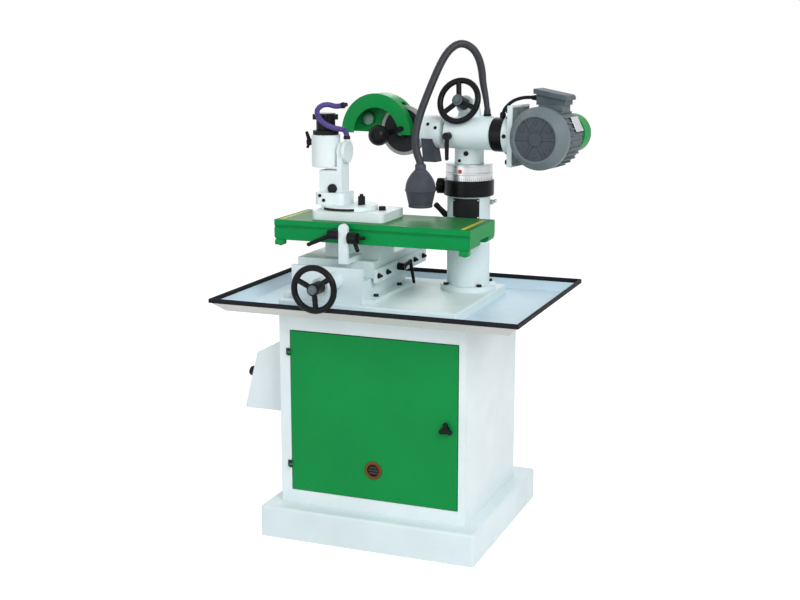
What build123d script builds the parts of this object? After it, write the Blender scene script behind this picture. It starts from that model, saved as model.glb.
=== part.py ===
from build123d import *
import os
from math import atan2, cos, degrees, pi, radians, sin, sqrt, tan

# Circular saw blade sharpener: a cabinet with a chip tray, a cross slide with a table and a work head,
# and a column with a swivelling grinding head. Millimetres, +Z up, X to the right, Y to the back.
# The origin is the middle of the plinth's underside.

# Fits
RUN_FIT = 0.06        # radial clearance of a turning or sliding fit
SEAT_FIT = 0.05       # radial clearance where a fixed piece sits in a bore
SLIDE_GAP = 0.3       # gap between the flat faces of a slide
BOLT_GAP = 0.3        # radial clearance of a bolt hole

# Plinth and cabinet
PLINTH_STEP_X = 40.0  # the plinth stands out beyond the cabinet's sides, and front and back
PLINTH_STEP_Y = 66.0
PLINTH_H = 86.0
PLINTH_SHEET = 4.0
PLINTH_EDGE = 8.0
PLINTH_STRAP = 60.0   # width of the strap across the open underside
CABINET_D = 428.0
CABINET_Y = -14.0
SHEET = 2.5
DOOR_W = 465.0
DOOR_H = 435.0
STILE_LEFT = 32.5     # from the cabinet's sides to the door's edges
STILE_RIGHT = 22.5
DOOR_LIFT = 39.0      # from the plinth to the door's lower edge
TOP_RAIL = 52.0       # from the door's upper edge to the tray
DOOR_T = 18.0
DOOR_SKIN = 2.0
DOOR_GAP = 2.0
DOOR_PROUD = 1.5
STOP_FLANGE_W = 12.0
HINGE_D = 7.0
HINGE_PIN_D = 4.0
HINGE_LEAF = 9.0
HINGE_LEAF_T = 2.0
HINGE_KNUCKLE = 6.0
HINGE_LOW = 70.0      # from the door's lower edge to the lower hinge
HINGE_HIGH = 57.0     # from the door's upper edge to the upper hinge
LATCH_INSET = 30.0    # from the door's right edge
LATCH_RISE = 215.0    # above the door's lower edge
LATCH_SHAFT_D = 10.0
LATCH_CAM = 30.0
VENT_D = 38.0
VENT_X = 6.6
VENT_RISE = 80.0

# Chip tray and base plate
TRAY_OUT_X = 156.0    # the tray stands out beyond the cabinet's sides, and front and back
TRAY_OUT_Y = 93.0
TRAY_Y = -8.5
TRAY_SLOPE = 30.0
TRAY_RISE = 26.0
TRAY_LIP = 8.0
TRAY_SHEET = 2.0
PLATE_W = 493.0
PLATE_D = 420.0
PLATE_X = -15.5
PLATE_Y = -18.0
PLATE_T = 26.0
PLATE_EDGE = 4.0

# Switch box on the cabinet's left side
BOX_FRONT = -175.0
BOX_L = 200.0
BOX_TOP = 440.0       # above the plinth, at the cabinet
BOX_SHOULDER = 392.0
BOX_SHOULDER_OUT = 94.0
BOX_FOOT = 234.0
BOX_FOOT_OUT = 134.0
BOX_SHEET = 2.0
COVER_T = 3.0
BUTTON_D = 22.0
BUTTON_OUT = 9.0
BUTTON_TRAVEL = 4.0
BUTTON_PITCH = 50.0
GLAND_D = 28.0
GLAND_BORE = 12.0
GLAND_L = 18.0

# Cross slide
SLIDE_X = -132.0
SLIDE_W = 200.0
SLIDE_FRONT = -194.0
SLIDE_L = 294.0
SLIDE_H = 58.0
WAY_W = 120.0         # width of the dovetail way at its root
WAY_FLARE = 8.0
WAY_H = 18.0
FOOT_W = 30.0
FOOT_T = 12.0
FOOT_BOLT_FRONT = 45.0  # from the slide's front to the first foot bolt
FOOT_BOLT_PITCH = 165.0
FRONT_PLATE_T = 12.0
FRONT_PLATE_H = 92.0
SCREW_X = -108.0
SCREW_RISE = 58.0     # feed screw axis above the base plate
SCREW_D = 18.0
SCREW_SHAFT_D = 16.0
SCREW_CHANNEL_W = 40.0
SCREW_CHANNEL_DEPTH = 46.0
BEARING_BOSS_D = 46.0
BEARING_BOSS_L = 94.0
HANDWHEEL_D = 125.0
HANDWHEEL_RIM = 16.0
HANDWHEEL_HUB_D = 32.0
HANDWHEEL_HUB_L = 42.0
HANDWHEEL_SPOKE = 14.0
HANDWHEEL_STAND = 34.0  # from the bearing boss to the rim's middle plane

SADDLE_W = 216.0
SADDLE_FRONT = -150.0
SADDLE_L = 365.0
SADDLE_T = 44.0
NUT_Y = -20.0
NUT_W = 34.0
NUT_L = 40.0
NUT_DROP = 42.0
GIB_T = 10.0
GIB_H = 36.0
GIB_DROP = 12.0       # below the saddle's underside
LOCK_Y = 0.0
LOCK_RISE = 8.0       # above the saddle's underside
TABLE_WAY_L = 158.0
TABLE_WAY_X = -97.0
TABLE_WAY_Y = -67.5
TABLE_WAY_D = 95.0
TABLE_WAY_RISE = 49.7
TABLE_DOVETAIL_W = 60.0
TABLE_DOVETAIL_FLARE = 8.0
TABLE_DOVETAIL_H = 16.0
BRACKET_X = -83.0
BRACKET_W = 26.0
BRACKET_T = 10.0
BRACKET_OUT = 60.0    # from the saddle's front to the bracket's front face
BRACKET_RISE = 104.0
BRACKET_FOOT_T = 14.0
TABLE_LOCK_DROP = 29.0  # lever axes below the bracket's top
STOP_LEVER_DROP = 36.0
TABLE_LOCK_HUB_D = 24.0
STOP_LEVER_HUB_D = 30.0
LEVER_STUD_D = 8.0
LEVER_STUD_L = 10.0
LEVER_HUB_D = 20.0
TABLE_LOCK_REACH = 86.0
STOP_GRIP_REACH = 46.0

# Table and work holding
TABLE_X = -19.0
TABLE_Y = -85.5
TABLE_L = 540.0
TABLE_D = 205.0
TABLE_T = 52.7
TABLE_GROOVE = 6.0
TABLE_GROOVE_DROP = 18.0
TABLE_BACK_ROUND = 20.0
TABLE_END_ROUND = 10.0
FIXTURE_X = -96.5
FIXTURE_Y = -80.0
FIXTURE_W = 203.0
FIXTURE_D = 154.0
FIXTURE_T = 23.0
FIXTURE_CORNER = 14.0
TURN_X = -120.0
TURN_Y = -80.0
TURN_D = 150.0
TURN_T = 11.7
TURN_SPIGOT_D = 40.0
TURN_SPIGOT_L = 12.0
TURN_BOLT_R = 34.0
TURN_SLOT_HALF = 42.0
TURN_BOLT_D = 10.0
TURN_NUT_D = 18.0
TURN_NUT_H = 22.0
POST_FOOT_X = -163.0
POST_FOOT_W = 84.0
POST_FOOT_ROUND = 14.0
POST_FOOT_D = 80.0
POST_FOOT_H = 32.0
POST_X = -164.0
POST_W = 64.0
POST_D = 48.0
POST_H = 57.0
EAR_T = 14.0
EAR_W = 48.0
EAR_GAP = 3.0
CLAMP_DISC_D = 60.0
CLAMP_DISC_T = 10.0
HOSE_BOSS_D = 16.0
HOSE_BOSS_H = 2.0
WORK_X = -187.0
WORK_Y = -80.0
WORK_D = 76.0
WORK_H = 84.0
WORK_LIFT = 8.0      # from the post's top to the work head
WORK_PIVOT_RISE = 42.0
PIVOT_D = 30.0
ARBOR_D = 30.0
ARBOR_COLLAR_D = 68.0
ARBOR_COLLAR_T = 11.0
ARBOR_SPIGOT_D = 25.0
ARBOR_SPIGOT_L = 20.0
ARBOR_THREAD_D = 16.0
ARBOR_THREAD_L = 12.0
KNOB_SKIRT_D = 50.0
KNOB_SKIRT_T = 26.0
KNOB_STAR_D = 70.0
KNOB_STAR_T = 18.0
INDEX_RISE = 21.0     # index lever's pivot above the work head's tilt axis
INDEX_HUB_D = 18.0
INDEX_FINGER = 26.0
INDEX_TAIL = 16.0
HOSE_D = 14.0

# Column and grinding head
COLUMN_X = 151.0
COLUMN_Y = 100.0
COLUMN_D = 116.0
COLUMN_H = 256.0
COLUMN_FLANGE_D = 150.0
COLUMN_FLANGE_T = 15.0
COLUMN_BOLT_CIRCLE = 133.0
MOUNT_BOLT_D = 8.0
MOUNT_BOLT_HEAD = 13.0
MOUNT_BOLT_HEAD_T = 6.0
MOUNT_BOLT_GRIP = 14.0
COLLAR_D = 135.0
COLLAR_H = 42.0
COLLAR_KNOB_D = 42.0
COLLAR_KNOB_L = 20.0
COLLAR_STUD_D = 10.0
SLEEVE_D = 84.0
SLEEVE_L = 218.0
RING_D = 125.0
RING_H = 42.7
LIFT_NUT_H = 30.0
POST_TUBE_D = 56.0
POST_TUBE_BORE = 30.0
POST_TUBE_DOWN = 211.0  # below the graduated ring's top
LIFT_SCREW_D = 16.0
HEAD_SWIVEL = -8.0
NECK_D = 78.0
NECK_BORE_DEPTH = 55.0
AXIS_RISE = 83.0      # barrel axis above the graduated ring
BARREL_Y = -36.0      # barrel axis ahead of the column axis
BARREL_D = 84.0
BARREL_LEFT = -40.0
BARREL_RIGHT = 93.0
QUILL_D = 44.0
HOUSING_D = 84.0
HOUSING_TOP_D = 44.0
HOUSING_RISE = 88.0  # top of the gear housing above the barrel axis
HOUSING_ROOF = 8.0
GEAR_ROOM_D = 52.0
GEAR_ROOM_TOP_D = 34.0
LIFT_SHAFT_D = 14.0
LIFT_SHAFT_TILT = 18.0
LIFT_SHAFT_RISE = 66.0
LIFT_SHAFT_Y = -5.0
LIFT_BOSS_D = 48.0
LIFT_WHEEL_STAND = 62.0
GEAR_D = 40.0
GEAR_HUB_D = 24.0
GEAR_HUB_H = 8.0
GEAR_T = 8.0
PINION_D = 18.0
PINION_T = 6.0
PINION_OUT = 4.0
LAMP_PAD_X = 42.0
LAMP_PAD_Y = 20.0
LAMP_PAD_D = 36.0
LAMP_PAD_RISE = 42.0
TILT_LOCK_X = -22.0
TILT_LOCK_DROP = 6.0
TILT_LOCK_L = 18.0
TILT_LOCK_REACH = 58.0

# Grinding spindle, wheel and guard
END_GAP = 1.0         # axial gap between the barrel and the tilt ring
BLOCK_GAP = 11.0
BLOCK_D = 88.0
BLOCK_L = 59.0
SPINDLE_X = -181.0
ARM_FRONT = -8.0
ARM_T = 48.0
ARM_H = 60.0
SPINDLE_HOUSING_D = 70.0
SPINDLE_HOUSING_BACK = 72.0
SPINDLE_NOSE_D = 56.0
SPINDLE_NOSE_L = 16.0
SPINDLE_D = 25.0
WHEEL_D = 135.0
WHEEL_T = 12.0
WHEEL_BACK = -28.0
WHEEL_FLANGE_D = 50.0
WHEEL_FLANGE_T = 4.0
WHEEL_NUT_D = 38.0
WHEEL_NUT_T = 10.0
GUARD_X = -252.0
GUARD_DROP = 10.0     # the guard's centre below the spindle's axis
GUARD_R = 108.0
GUARD_SHEET = 3.0
GUARD_FRONT = -66.0
GUARD_BACK = -13.0
GUARD_ARCH_R = 70.0
GUARD_WALL_END = 52.0   # below this angle the rim is slotted for the wheel
GUARD_WHEEL_GAP = 4.0   # from each side of the wheel to the lips beside it
GUARD_RING_D = 80.0
GUARD_PORT_D = 36.0    # a round boss inside the back plate
GUARD_PORT_L = 6.0
GUARD_PORT_X = -48.0
GUARD_PORT_Z = 26.0
HANDLE_BAR_W = 14.0
HANDLE_BAR_T = 6.0
HANDLE_ROOT_X = -172.0
HANDLE_ROOT_Z = 6.0
HANDLE_BALL_X = -222.0
HANDLE_BALL_Z = -11.0
HANDLE_BALL_D = 56.0
HANDLE_WASHER_D = 34.0
HANDLE_WASHER_T = 6.0
CHUTE_X = -88.0
CHUTE_W = 38.0
CHUTE_D = 36.0
CHUTE_Y = -62.0
CHUTE_DROP = 16.0     # the chute's top below the spindle's axis
CHUTE_H = 63.0
CHUTE_TAPER = 2.0
CHUTE_LEAN = 18.0     # how far the chute's mouth lies behind its top, clear of the tilt lock lever
CHUTE_SHEET = 2.0

# Motor and belt drive
TILT_RING_D = 90.0
TILT_RING_L = 38.0
ARM_FLANGE_D = 104.0
ARM_FLANGE_L = 19.0
MOTOR_PLATE_T = 14.0
MOTOR_PLATE_H = 156.0
MOTOR_PLATE_FRONT = -90.0
MOTOR_PLATE_BACK = 18.0
MOTOR_X = 248.0
MOTOR_D = 150.0
MOTOR_FIN = 4.5
MOTOR_FIN_T = 4.0
MOTOR_FINS = 30
MOTOR_BORE = 128.0
MOTOR_FRONT = -95.0
MOTOR_BACK = -8.0
MOTOR_FOOT_T = 12.0
MOTOR_FOOT_H = 148.0
MOTOR_WEB_H = 90.0
MOTOR_REAR_D = 90.0
MOTOR_REAR_TAPER = 30.0
MOTOR_END_L = 40.0
MOTOR_END_FACE_D = 112.0
MOTOR_HUB_D = 34.0
MOTOR_SHAFT_D = 24.0
ROTOR_D = 110.0
TERMINAL_W = 78.0
TERMINAL_D = 62.0
TERMINAL_H = 40.0
TERMINAL_X = 261.0
TERMINAL_Y = -45.0
TERMINAL_SLOPE = 10.0
TERMINAL_LID_T = 12.0
TERMINAL_LID_OUT = 6.0
TERMINAL_PAD_RISE = 82.0  # top of the pad above the motor's axis
LEAD_D = 9.0
LEAD_BOSS_D = 16.0
LEAD_BOSS_H = 6.0
PULLEY_W = 22.0
MOTOR_PULLEY_D = 48.0
SPINDLE_PULLEY_D = 38.0
BELT_T = 4.0
BELT_W = 16.0
GUARD_PLATE_T = 2.0
BELT_GUARD_ROOM = 3.0
BELT_GUARD_DRUM_D = 102.0  # the guard's round end on the motor
BELT_GUARD_W = 44.0

# Lamp
GOOSENECK_D = 21.0
LAMP_BASE_D = 26.0
LAMP_BASE_H = 12.0
LAMP_NECK_D = 26.0
LAMP_WIDE_D = 80.0
LAMP_MOUTH_D = 60.0
LAMP_L = 101.0
LAMP_WALL = 2.0

# Sizes that follow from the door and the cabinet
CABINET_W = STILE_LEFT + DOOR_W + STILE_RIGHT
CABINET_H = DOOR_LIFT + DOOR_H + TOP_RAIL
DOOR_X = (STILE_LEFT - STILE_RIGHT) / 2
PLINTH_W = CABINET_W + 2 * PLINTH_STEP_X
PLINTH_D = CABINET_D + 2 * PLINTH_STEP_Y
TRAY_W = CABINET_W + 2 * TRAY_OUT_X
TRAY_D = CABINET_D + 2 * TRAY_OUT_Y

# Heights that follow from the stack
TRAY_Z = PLINTH_H + CABINET_H
FLOOR_Z = TRAY_Z + TRAY_SHEET
PLATE_Z = FLOOR_Z + PLATE_T
SLIDE_Z = PLATE_Z + SLIDE_H
SADDLE_Z = SLIDE_Z + SLIDE_GAP
SADDLE_TOP = SADDLE_Z + SADDLE_T
TABLE_WAY_Z = SADDLE_TOP + TABLE_WAY_RISE
TABLE_Z = TABLE_WAY_Z + SLIDE_GAP
TABLE_TOP = TABLE_Z + TABLE_T
FIXTURE_Z = TABLE_TOP + FIXTURE_T
TURN_Z = FIXTURE_Z + SLIDE_GAP
TURN_TOP = TURN_Z + TURN_T
POST_Z = TURN_TOP + POST_FOOT_H
POST_TOP = POST_Z + POST_H
WORK_Z = POST_TOP + WORK_LIFT
WORK_TOP = WORK_Z + WORK_H
PIVOT_Z = WORK_Z + WORK_PIVOT_RISE
COLUMN_TOP = PLATE_Z + COLUMN_H
COLLAR_TOP = COLUMN_TOP + COLLAR_H
RING_Z = COLLAR_TOP + SLIDE_GAP
RING_TOP = RING_Z + RING_H
NECK_Z = RING_TOP + SLIDE_GAP
AXIS_Z = RING_TOP + AXIS_RISE
GUARD_Z = AXIS_Z - GUARD_DROP
SCREW_Z = PLATE_Z + SCREW_RISE

# Planes and edges that follow from the cabinet and the slide
CABINET_FRONT = CABINET_Y - CABINET_D / 2
CABINET_BACK = CABINET_Y + CABINET_D / 2
DOOR_FRONT = CABINET_FRONT - DOOR_PROUD
DOOR_BACK = DOOR_FRONT + DOOR_T
DOOR_LEFT = DOOR_X - DOOR_W / 2
DOOR_RIGHT = DOOR_X + DOOR_W / 2
DOOR_BOTTOM = PLINTH_H + DOOR_LIFT
DOOR_TOP = DOOR_BOTTOM + DOOR_H
STOP_FRONT = DOOR_BACK + DOOR_GAP
HINGE_X = DOOR_LEFT - 3.5
HINGE_Y = DOOR_FRONT - HINGE_D / 2
HINGE_ZS = (DOOR_BOTTOM + HINGE_LOW, DOOR_TOP - HINGE_HIGH)
LATCH_X = DOOR_RIGHT - LATCH_INSET
LATCH_Z = DOOR_BOTTOM + LATCH_RISE
VENT_Z = DOOR_BOTTOM + VENT_RISE
BOX_SIDE = -CABINET_W / 2
SLIDE_BACK = SLIDE_FRONT + SLIDE_L
PLATE_FRONT = SLIDE_FRONT - FRONT_PLATE_T
BOSS_FRONT = PLATE_FRONT - BEARING_BOSS_L
WHEEL_Y = BOSS_FRONT - HANDWHEEL_STAND
SADDLE_BACK = SADDLE_FRONT + SADDLE_L
SADDLE_RIGHT = SLIDE_X + SADDLE_W / 2
GIB_RIGHT = SADDLE_RIGHT + GIB_T
BRACKET_Y = SADDLE_FRONT - BRACKET_OUT + BRACKET_T / 2
BRACKET_TOP = SADDLE_TOP + BRACKET_RISE
TABLE_WAY_FRONT = TABLE_WAY_Y - TABLE_WAY_D / 2
EAR_X = WORK_X + WORK_D / 2 + EAR_GAP
DISC_X = EAR_X + EAR_T + SLIDE_GAP
HOSE_START_X = DISC_X + CLAMP_DISC_T / 2
HOSE_START_Z = PIVOT_Z + CLAMP_DISC_D / 2 + HOSE_BOSS_H
WHEEL_FRONT = WHEEL_BACK - WHEEL_T
BELT_GUARD_BACK = SPINDLE_HOUSING_BACK + BELT_GUARD_W
PULLEY_Y = SPINDLE_HOUSING_BACK + BELT_GUARD_W / 2
QUILL_RIGHT = BARREL_RIGHT + END_GAP + TILT_RING_L + ARM_FLANGE_L
MOTOR_FOOT_X = QUILL_RIGHT + MOTOR_PLATE_T
MOTOR_END_FRONT = MOTOR_FRONT - MOTOR_END_L
BLOCK_RIGHT = BARREL_LEFT - BLOCK_GAP
BLOCK_LEFT = BLOCK_RIGHT - BLOCK_L
LAMP_PAD_TOP = AXIS_Z + LAMP_PAD_RISE
TERMINAL_LEFT = TERMINAL_X - TERMINAL_W / 2
TERMINAL_Z = AXIS_Z + TERMINAL_PAD_RISE

# Routes of the bent tubes, chosen by hand. The gooseneck and the lead are in the head's own frame and
# their heights are above the barrel's axis. The hose's heights are above the work head's tilt axis.
GOOSENECK_BENDS = [
    (LAMP_PAD_X, LAMP_PAD_Y, LAMP_PAD_RISE + 1),
    (LAMP_PAD_X, LAMP_PAD_Y, 60),
    (34, 24, 96),
    (24, 28, 128),
    (21, 28, 160),
    (16, 19, 194),
    (2, 6, 222),
    (-22, -14, 234),
    (-42, -36, 218),
    (-57, -57, 184),
    (-75, -82, 120),
    (-92, -110, 48),
    (-96, -129, -8),
    (-84, -140, -50),
    (-72, -140, -72),
    (-72, -140, -89),
]
GOOSENECK_ROUTE = [(x, y, AXIS_Z + rise) for x, y, rise in GOOSENECK_BENDS]
LEAD_BENDS = [
    (TERMINAL_LEFT, TERMINAL_Y, 98),
    (TERMINAL_LEFT - 26, TERMINAL_Y, 98),
    (168, -44, 103),
    (140, -40, 88),
    (114, BARREL_Y, 74),
    (114, BARREL_Y, TILT_RING_D / 2 + LEAD_BOSS_H),
]
LEAD_ROUTE = [(x, y, AXIS_Z + rise) for x, y, rise in LEAD_BENDS]
HOSE_BENDS = [
    (HOSE_START_X, WORK_Y, CLAMP_DISC_D / 2 + HOSE_BOSS_H),
    (HOSE_START_X, WORK_Y, 55),
    (-140, -108, 60),
    (-158, -124, 67),
    (-174, -130, 78),
    (-187, -128, 91),
    (-196, -117, 107),
    (-191, -96, 119),
    (-177, -82, 121),
    (-157, -76, 114),
    (-138, -72, 119),
]
HOSE_ROUTE = [(x, y, PIVOT_Z + rise) for x, y, rise in HOSE_BENDS]
LAMP_AXIS = GOOSENECK_ROUTE[-1]

# The grinding head's frame stands on the column's axis and is swivelled about it.
HEAD = Pos(COLUMN_X, COLUMN_Y, 0) * Rot(0, 0, HEAD_SWIVEL)
LOW = (Align.CENTER, Align.CENTER, Align.MIN)


def block(x0, x1, y0, y1, z0, z1):
    """A box between two corners."""
    return Pos((x0 + x1) / 2, (y0 + y1) / 2, (z0 + z1) / 2) * Box(x1 - x0, y1 - y0, z1 - z0)


def rod_x(d, x0, x1, y, z):
    return Pos(x0, y, z) * Rot(0, 90, 0) * Cylinder(d / 2, x1 - x0, align=LOW)


def rod_y(d, y0, y1, x, z):
    return Pos(x, y0, z) * Rot(-90, 0, 0) * Cylinder(d / 2, y1 - y0, align=LOW)


def rod_z(d, z0, z1, x=0.0, y=0.0):
    return Pos(x, y, z0) * Cylinder(d / 2, z1 - z0, align=LOW)


def prism_y(sketch, y0, y1):
    """A sketch in (x, z), extruded along Y."""
    return Pos(0, y1, 0) * extrude(Plane.XZ * sketch, y1 - y0)


def polygon(points):
    return make_face(Polyline(*points, close=True))


def between(d0, d1, start, end):
    """A tapered round bar from one point to another."""
    axis = Vector(*end) - Vector(*start)
    plane = Plane(origin=start, z_dir=axis)
    bar = Cylinder(d0 / 2, axis.length, align=LOW)
    if d0 != d1:
        bar = Cone(d0 / 2, d1 / 2, axis.length, align=LOW)
    return plane.location * bar


def bent_tube(diameter, points):
    """A round tube along straight runs joined by arcs as large as the runs allow."""
    corners = [Vector(*p) for p in points]
    radii = []
    for before, here, after in zip(corners, corners[1:], corners[2:]):
        turn = radians((here - before).get_angle(after - here))
        shorter = min((here - before).length, (after - here).length)
        radii.append(0.45 * shorter / tan(turn / 2))
    path = FilletPolyline(*points, radius=radii)
    start = Plane(origin=points[0], z_dir=corners[1] - corners[0])
    tube = sweep(start * Circle(diameter / 2), path=path)
    expected = pi * diameter ** 2 / 4 * path.length
    print(f"tube of {diameter}: length {path.length:.1f}, least radius {min(radii):.1f}, "
          f"volume over section times length {tube.volume / expected:.4f}")
    return tube


def handwheel(bore, phase):
    """A three-spoke handwheel about Z, with its rim's middle plane at Z = 0 and its face towards +Z."""
    rim_r = (HANDWHEEL_D - HANDWHEEL_RIM) / 2
    wheel = Torus(rim_r, HANDWHEEL_RIM / 2)
    hub_low = -HANDWHEEL_STAND + 1.0
    wheel += Pos(0, 0, hub_low) * Cylinder(HANDWHEEL_HUB_D / 2, HANDWHEEL_HUB_L, align=LOW)
    for spoke in range(3):
        wheel += Rot(0, 0, phase + 120 * spoke) * rod_x(HANDWHEEL_SPOKE, 0, rim_r, 0, 0)
    return wheel - rod_z(bore, hub_low - 1, hub_low + HANDWHEEL_HUB_L - 4)


def clamp_lever(hub_d, hub_l, arm_start, arm_end):
    """A clamp lever about Z: a stud below Z = 0, a hub above it and a round-ended arm."""
    lever = rod_z(LEVER_STUD_D, -LEVER_STUD_L, hub_l / 2) + rod_z(hub_d, SLIDE_GAP, hub_l)
    lever += between(13, 10, (0, 0, arm_start), arm_end)
    return lever + Pos(*arm_end) * Sphere(5.5)


def hex_bolt():
    """A bolt hanging from Z = 0, with its head above."""
    head = extrude(RegularPolygon(MOUNT_BOLT_HEAD / 2, 6, major_radius=False), MOUNT_BOLT_HEAD_T)
    return head + rod_z(MOUNT_BOLT_D, -MOUNT_BOLT_GRIP, 0.5)


def column_bolt_places():
    z = PLATE_Z + COLUMN_FLANGE_T
    ring = [radians(45 + 90 * k) for k in range(4)]
    r = COLUMN_BOLT_CIRCLE / 2
    return [(COLUMN_X + r * cos(a), COLUMN_Y + r * sin(a), z) for a in ring]


def slide_bolt_places():
    z = PLATE_Z + FOOT_T
    xs = (SLIDE_X - SLIDE_W / 2 - FOOT_W / 2, SLIDE_X + SLIDE_W / 2 + FOOT_W / 2)
    ys = (SLIDE_FRONT + FOOT_BOLT_FRONT, SLIDE_FRONT + FOOT_BOLT_FRONT + FOOT_BOLT_PITCH)
    return [(x, y, z) for x in xs for y in ys]


def bolt_holes(places):
    return [rod_z(MOUNT_BOLT_D + 2 * BOLT_GAP, z - MOUNT_BOLT_GRIP - 1, z + 1, x, y) for x, y, z in places]


# Base

def plinth():
    outer = block(-PLINTH_W / 2, PLINTH_W / 2, -PLINTH_D / 2, PLINTH_D / 2, 0, PLINTH_H)
    edges = outer.edges().filter_by(Axis.Z) + outer.faces().sort_by(Axis.Z)[-1].edges()
    outer = fillet(edges, PLINTH_EDGE)
    w = PLINTH_W / 2 - PLINTH_SHEET
    d = PLINTH_D / 2 - PLINTH_SHEET
    shell = outer - block(-w, w, -d, d, -1, PLINTH_H - PLINTH_SHEET)
    return shell + block(-w, w, -PLINTH_STRAP / 2, PLINTH_STRAP / 2, 0, PLINTH_SHEET)


def cabinet_shell():
    w = CABINET_W / 2
    front = CABINET_FRONT + SHEET
    outer = block(-w, w, front, CABINET_BACK, PLINTH_H, TRAY_Z)
    inner = block(-w + SHEET, w - SHEET, front - 1, CABINET_BACK - SHEET, PLINTH_H - 1, TRAY_Z + 1)
    return outer - inner


def cabinet_front_frame():
    w = CABINET_W / 2
    left = DOOR_LEFT - DOOR_GAP
    right = DOOR_RIGHT + DOOR_GAP
    low = DOOR_BOTTOM - DOOR_GAP
    high = DOOR_TOP + DOOR_GAP
    back = STOP_FRONT + SHEET
    frame = block(-w, w, CABINET_FRONT, CABINET_FRONT + SHEET, PLINTH_H, TRAY_Z)
    frame += block(left - SHEET, right + SHEET, CABINET_FRONT, back, low - SHEET, high + SHEET)
    frame -= block(left, right, CABINET_FRONT - 1, STOP_FRONT, low, high)
    stop = STOP_FLANGE_W
    return frame - block(left + stop, right - stop, CABINET_FRONT - 1, back + 1, low + stop, high - stop)


def door_hinges():
    """Two fixed hinge leaves, each with its end knuckles and pin."""
    hinges = []
    for z in HINGE_ZS:
        half = HINGE_KNUCKLE * 1.5
        mid = HINGE_KNUCKLE / 2 + 0.5
        face = CABINET_FRONT - HINGE_LEAF_T
        leaf = block(HINGE_X - HINGE_LEAF, HINGE_X, face, CABINET_FRONT, z - half, z + half)
        leaf += rod_z(HINGE_D, z - half, z + half, HINGE_X, HINGE_Y)
        leaf -= rod_z(HINGE_D + 1.2, z - mid, z + mid, HINGE_X, HINGE_Y)
        left = HINGE_X - HINGE_D / 2 - 0.6
        leaf -= block(left, HINGE_X + HINGE_D, HINGE_Y - HINGE_D, CABINET_FRONT, z - mid, z + mid)
        leaf += rod_z(HINGE_PIN_D, z - half, z + half, HINGE_X, HINGE_Y)
        hinges.append(leaf)
    return Compound(children=hinges)


def door_panel():
    """A folded door pan with its hinge knuckles, a latch hole and a vent hole."""
    door = block(DOOR_LEFT, DOOR_RIGHT, DOOR_FRONT, DOOR_BACK, DOOR_BOTTOM, DOOR_TOP)
    s = DOOR_SKIN
    door -= block(DOOR_LEFT + s, DOOR_RIGHT - s, DOOR_FRONT + s, DOOR_BACK + 1, DOOR_BOTTOM + s, DOOR_TOP - s)
    door -= rod_y(VENT_D, DOOR_FRONT - 1, DOOR_BACK, VENT_X, VENT_Z)
    door -= rod_y(LATCH_SHAFT_D + 2 * BOLT_GAP, DOOR_FRONT - 1, DOOR_BACK, LATCH_X, LATCH_Z)
    for z in HINGE_ZS:
        half = HINGE_KNUCKLE / 2
        face = DOOR_FRONT - HINGE_LEAF_T
        door += block(HINGE_X, HINGE_X + HINGE_LEAF, face, DOOR_FRONT, z - half, z + half)
        door += rod_z(HINGE_D, z - half, z + half, HINGE_X, HINGE_Y)
        door -= rod_z(HINGE_PIN_D + 2 * RUN_FIT, z - half - 1, z + half + 1, HINGE_X, HINGE_Y)
    return door


def latch_knob():
    """A three-wing knob, its shaft through the door and the cam behind it, turned to the open position."""
    face = DOOR_FRONT - SLIDE_GAP
    cam_front = STOP_FRONT + SHEET + 1
    knob = rod_y(20, face - 13, face, LATCH_X, LATCH_Z)
    for wing in range(3):
        a = radians(90 + 120 * wing)
        end = (LATCH_X + 13 * cos(a), face - 7, LATCH_Z + 13 * sin(a))
        knob += between(11, 13, (LATCH_X, face - 7, LATCH_Z), end)
        knob += Pos(*end) * Sphere(6.5)
    knob += rod_y(LATCH_SHAFT_D, face - 1, cam_front + 3, LATCH_X, LATCH_Z)
    cam = block(LATCH_X - 8, LATCH_X + 8, cam_front, cam_front + 3, LATCH_Z - 8, LATCH_Z + LATCH_CAM)
    return knob + cam


def chip_tray():
    def body(inset, low, top):
        wide = Rectangle(TRAY_W - 2 * inset, TRAY_D - 2 * inset)
        narrow = Rectangle(TRAY_W - 2 * inset - 2 * TRAY_SLOPE, TRAY_D - 2 * inset - 2 * TRAY_SLOPE)
        lip = TRAY_Z + TRAY_RISE
        pan = loft([Pos(0, 0, low) * narrow, Pos(0, 0, lip) * wide])
        return Pos(0, TRAY_Y, 0) * (pan + Pos(0, 0, lip) * extrude(wide, top - lip))
    top = TRAY_Z + TRAY_RISE + TRAY_LIP
    return body(0, TRAY_Z, top) - body(TRAY_SHEET, FLOOR_Z, top + 1)


def base_plate():
    w = PLATE_W / 2
    d = PLATE_D / 2
    plate = block(PLATE_X - w, PLATE_X + w, PLATE_Y - d, PLATE_Y + d, FLOOR_Z, PLATE_Z)
    edges = plate.edges().filter_by(Axis.Z) + plate.faces().sort_by(Axis.Z)[-1].edges()
    plate = fillet(edges, PLATE_EDGE)
    for hole in bolt_holes(column_bolt_places() + slide_bolt_places()):
        plate -= hole
    return plate


def mounting_bolts():
    return Compound(children=[Pos(*p) * hex_bolt() for p in column_bolt_places() + slide_bolt_places()])


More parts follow.
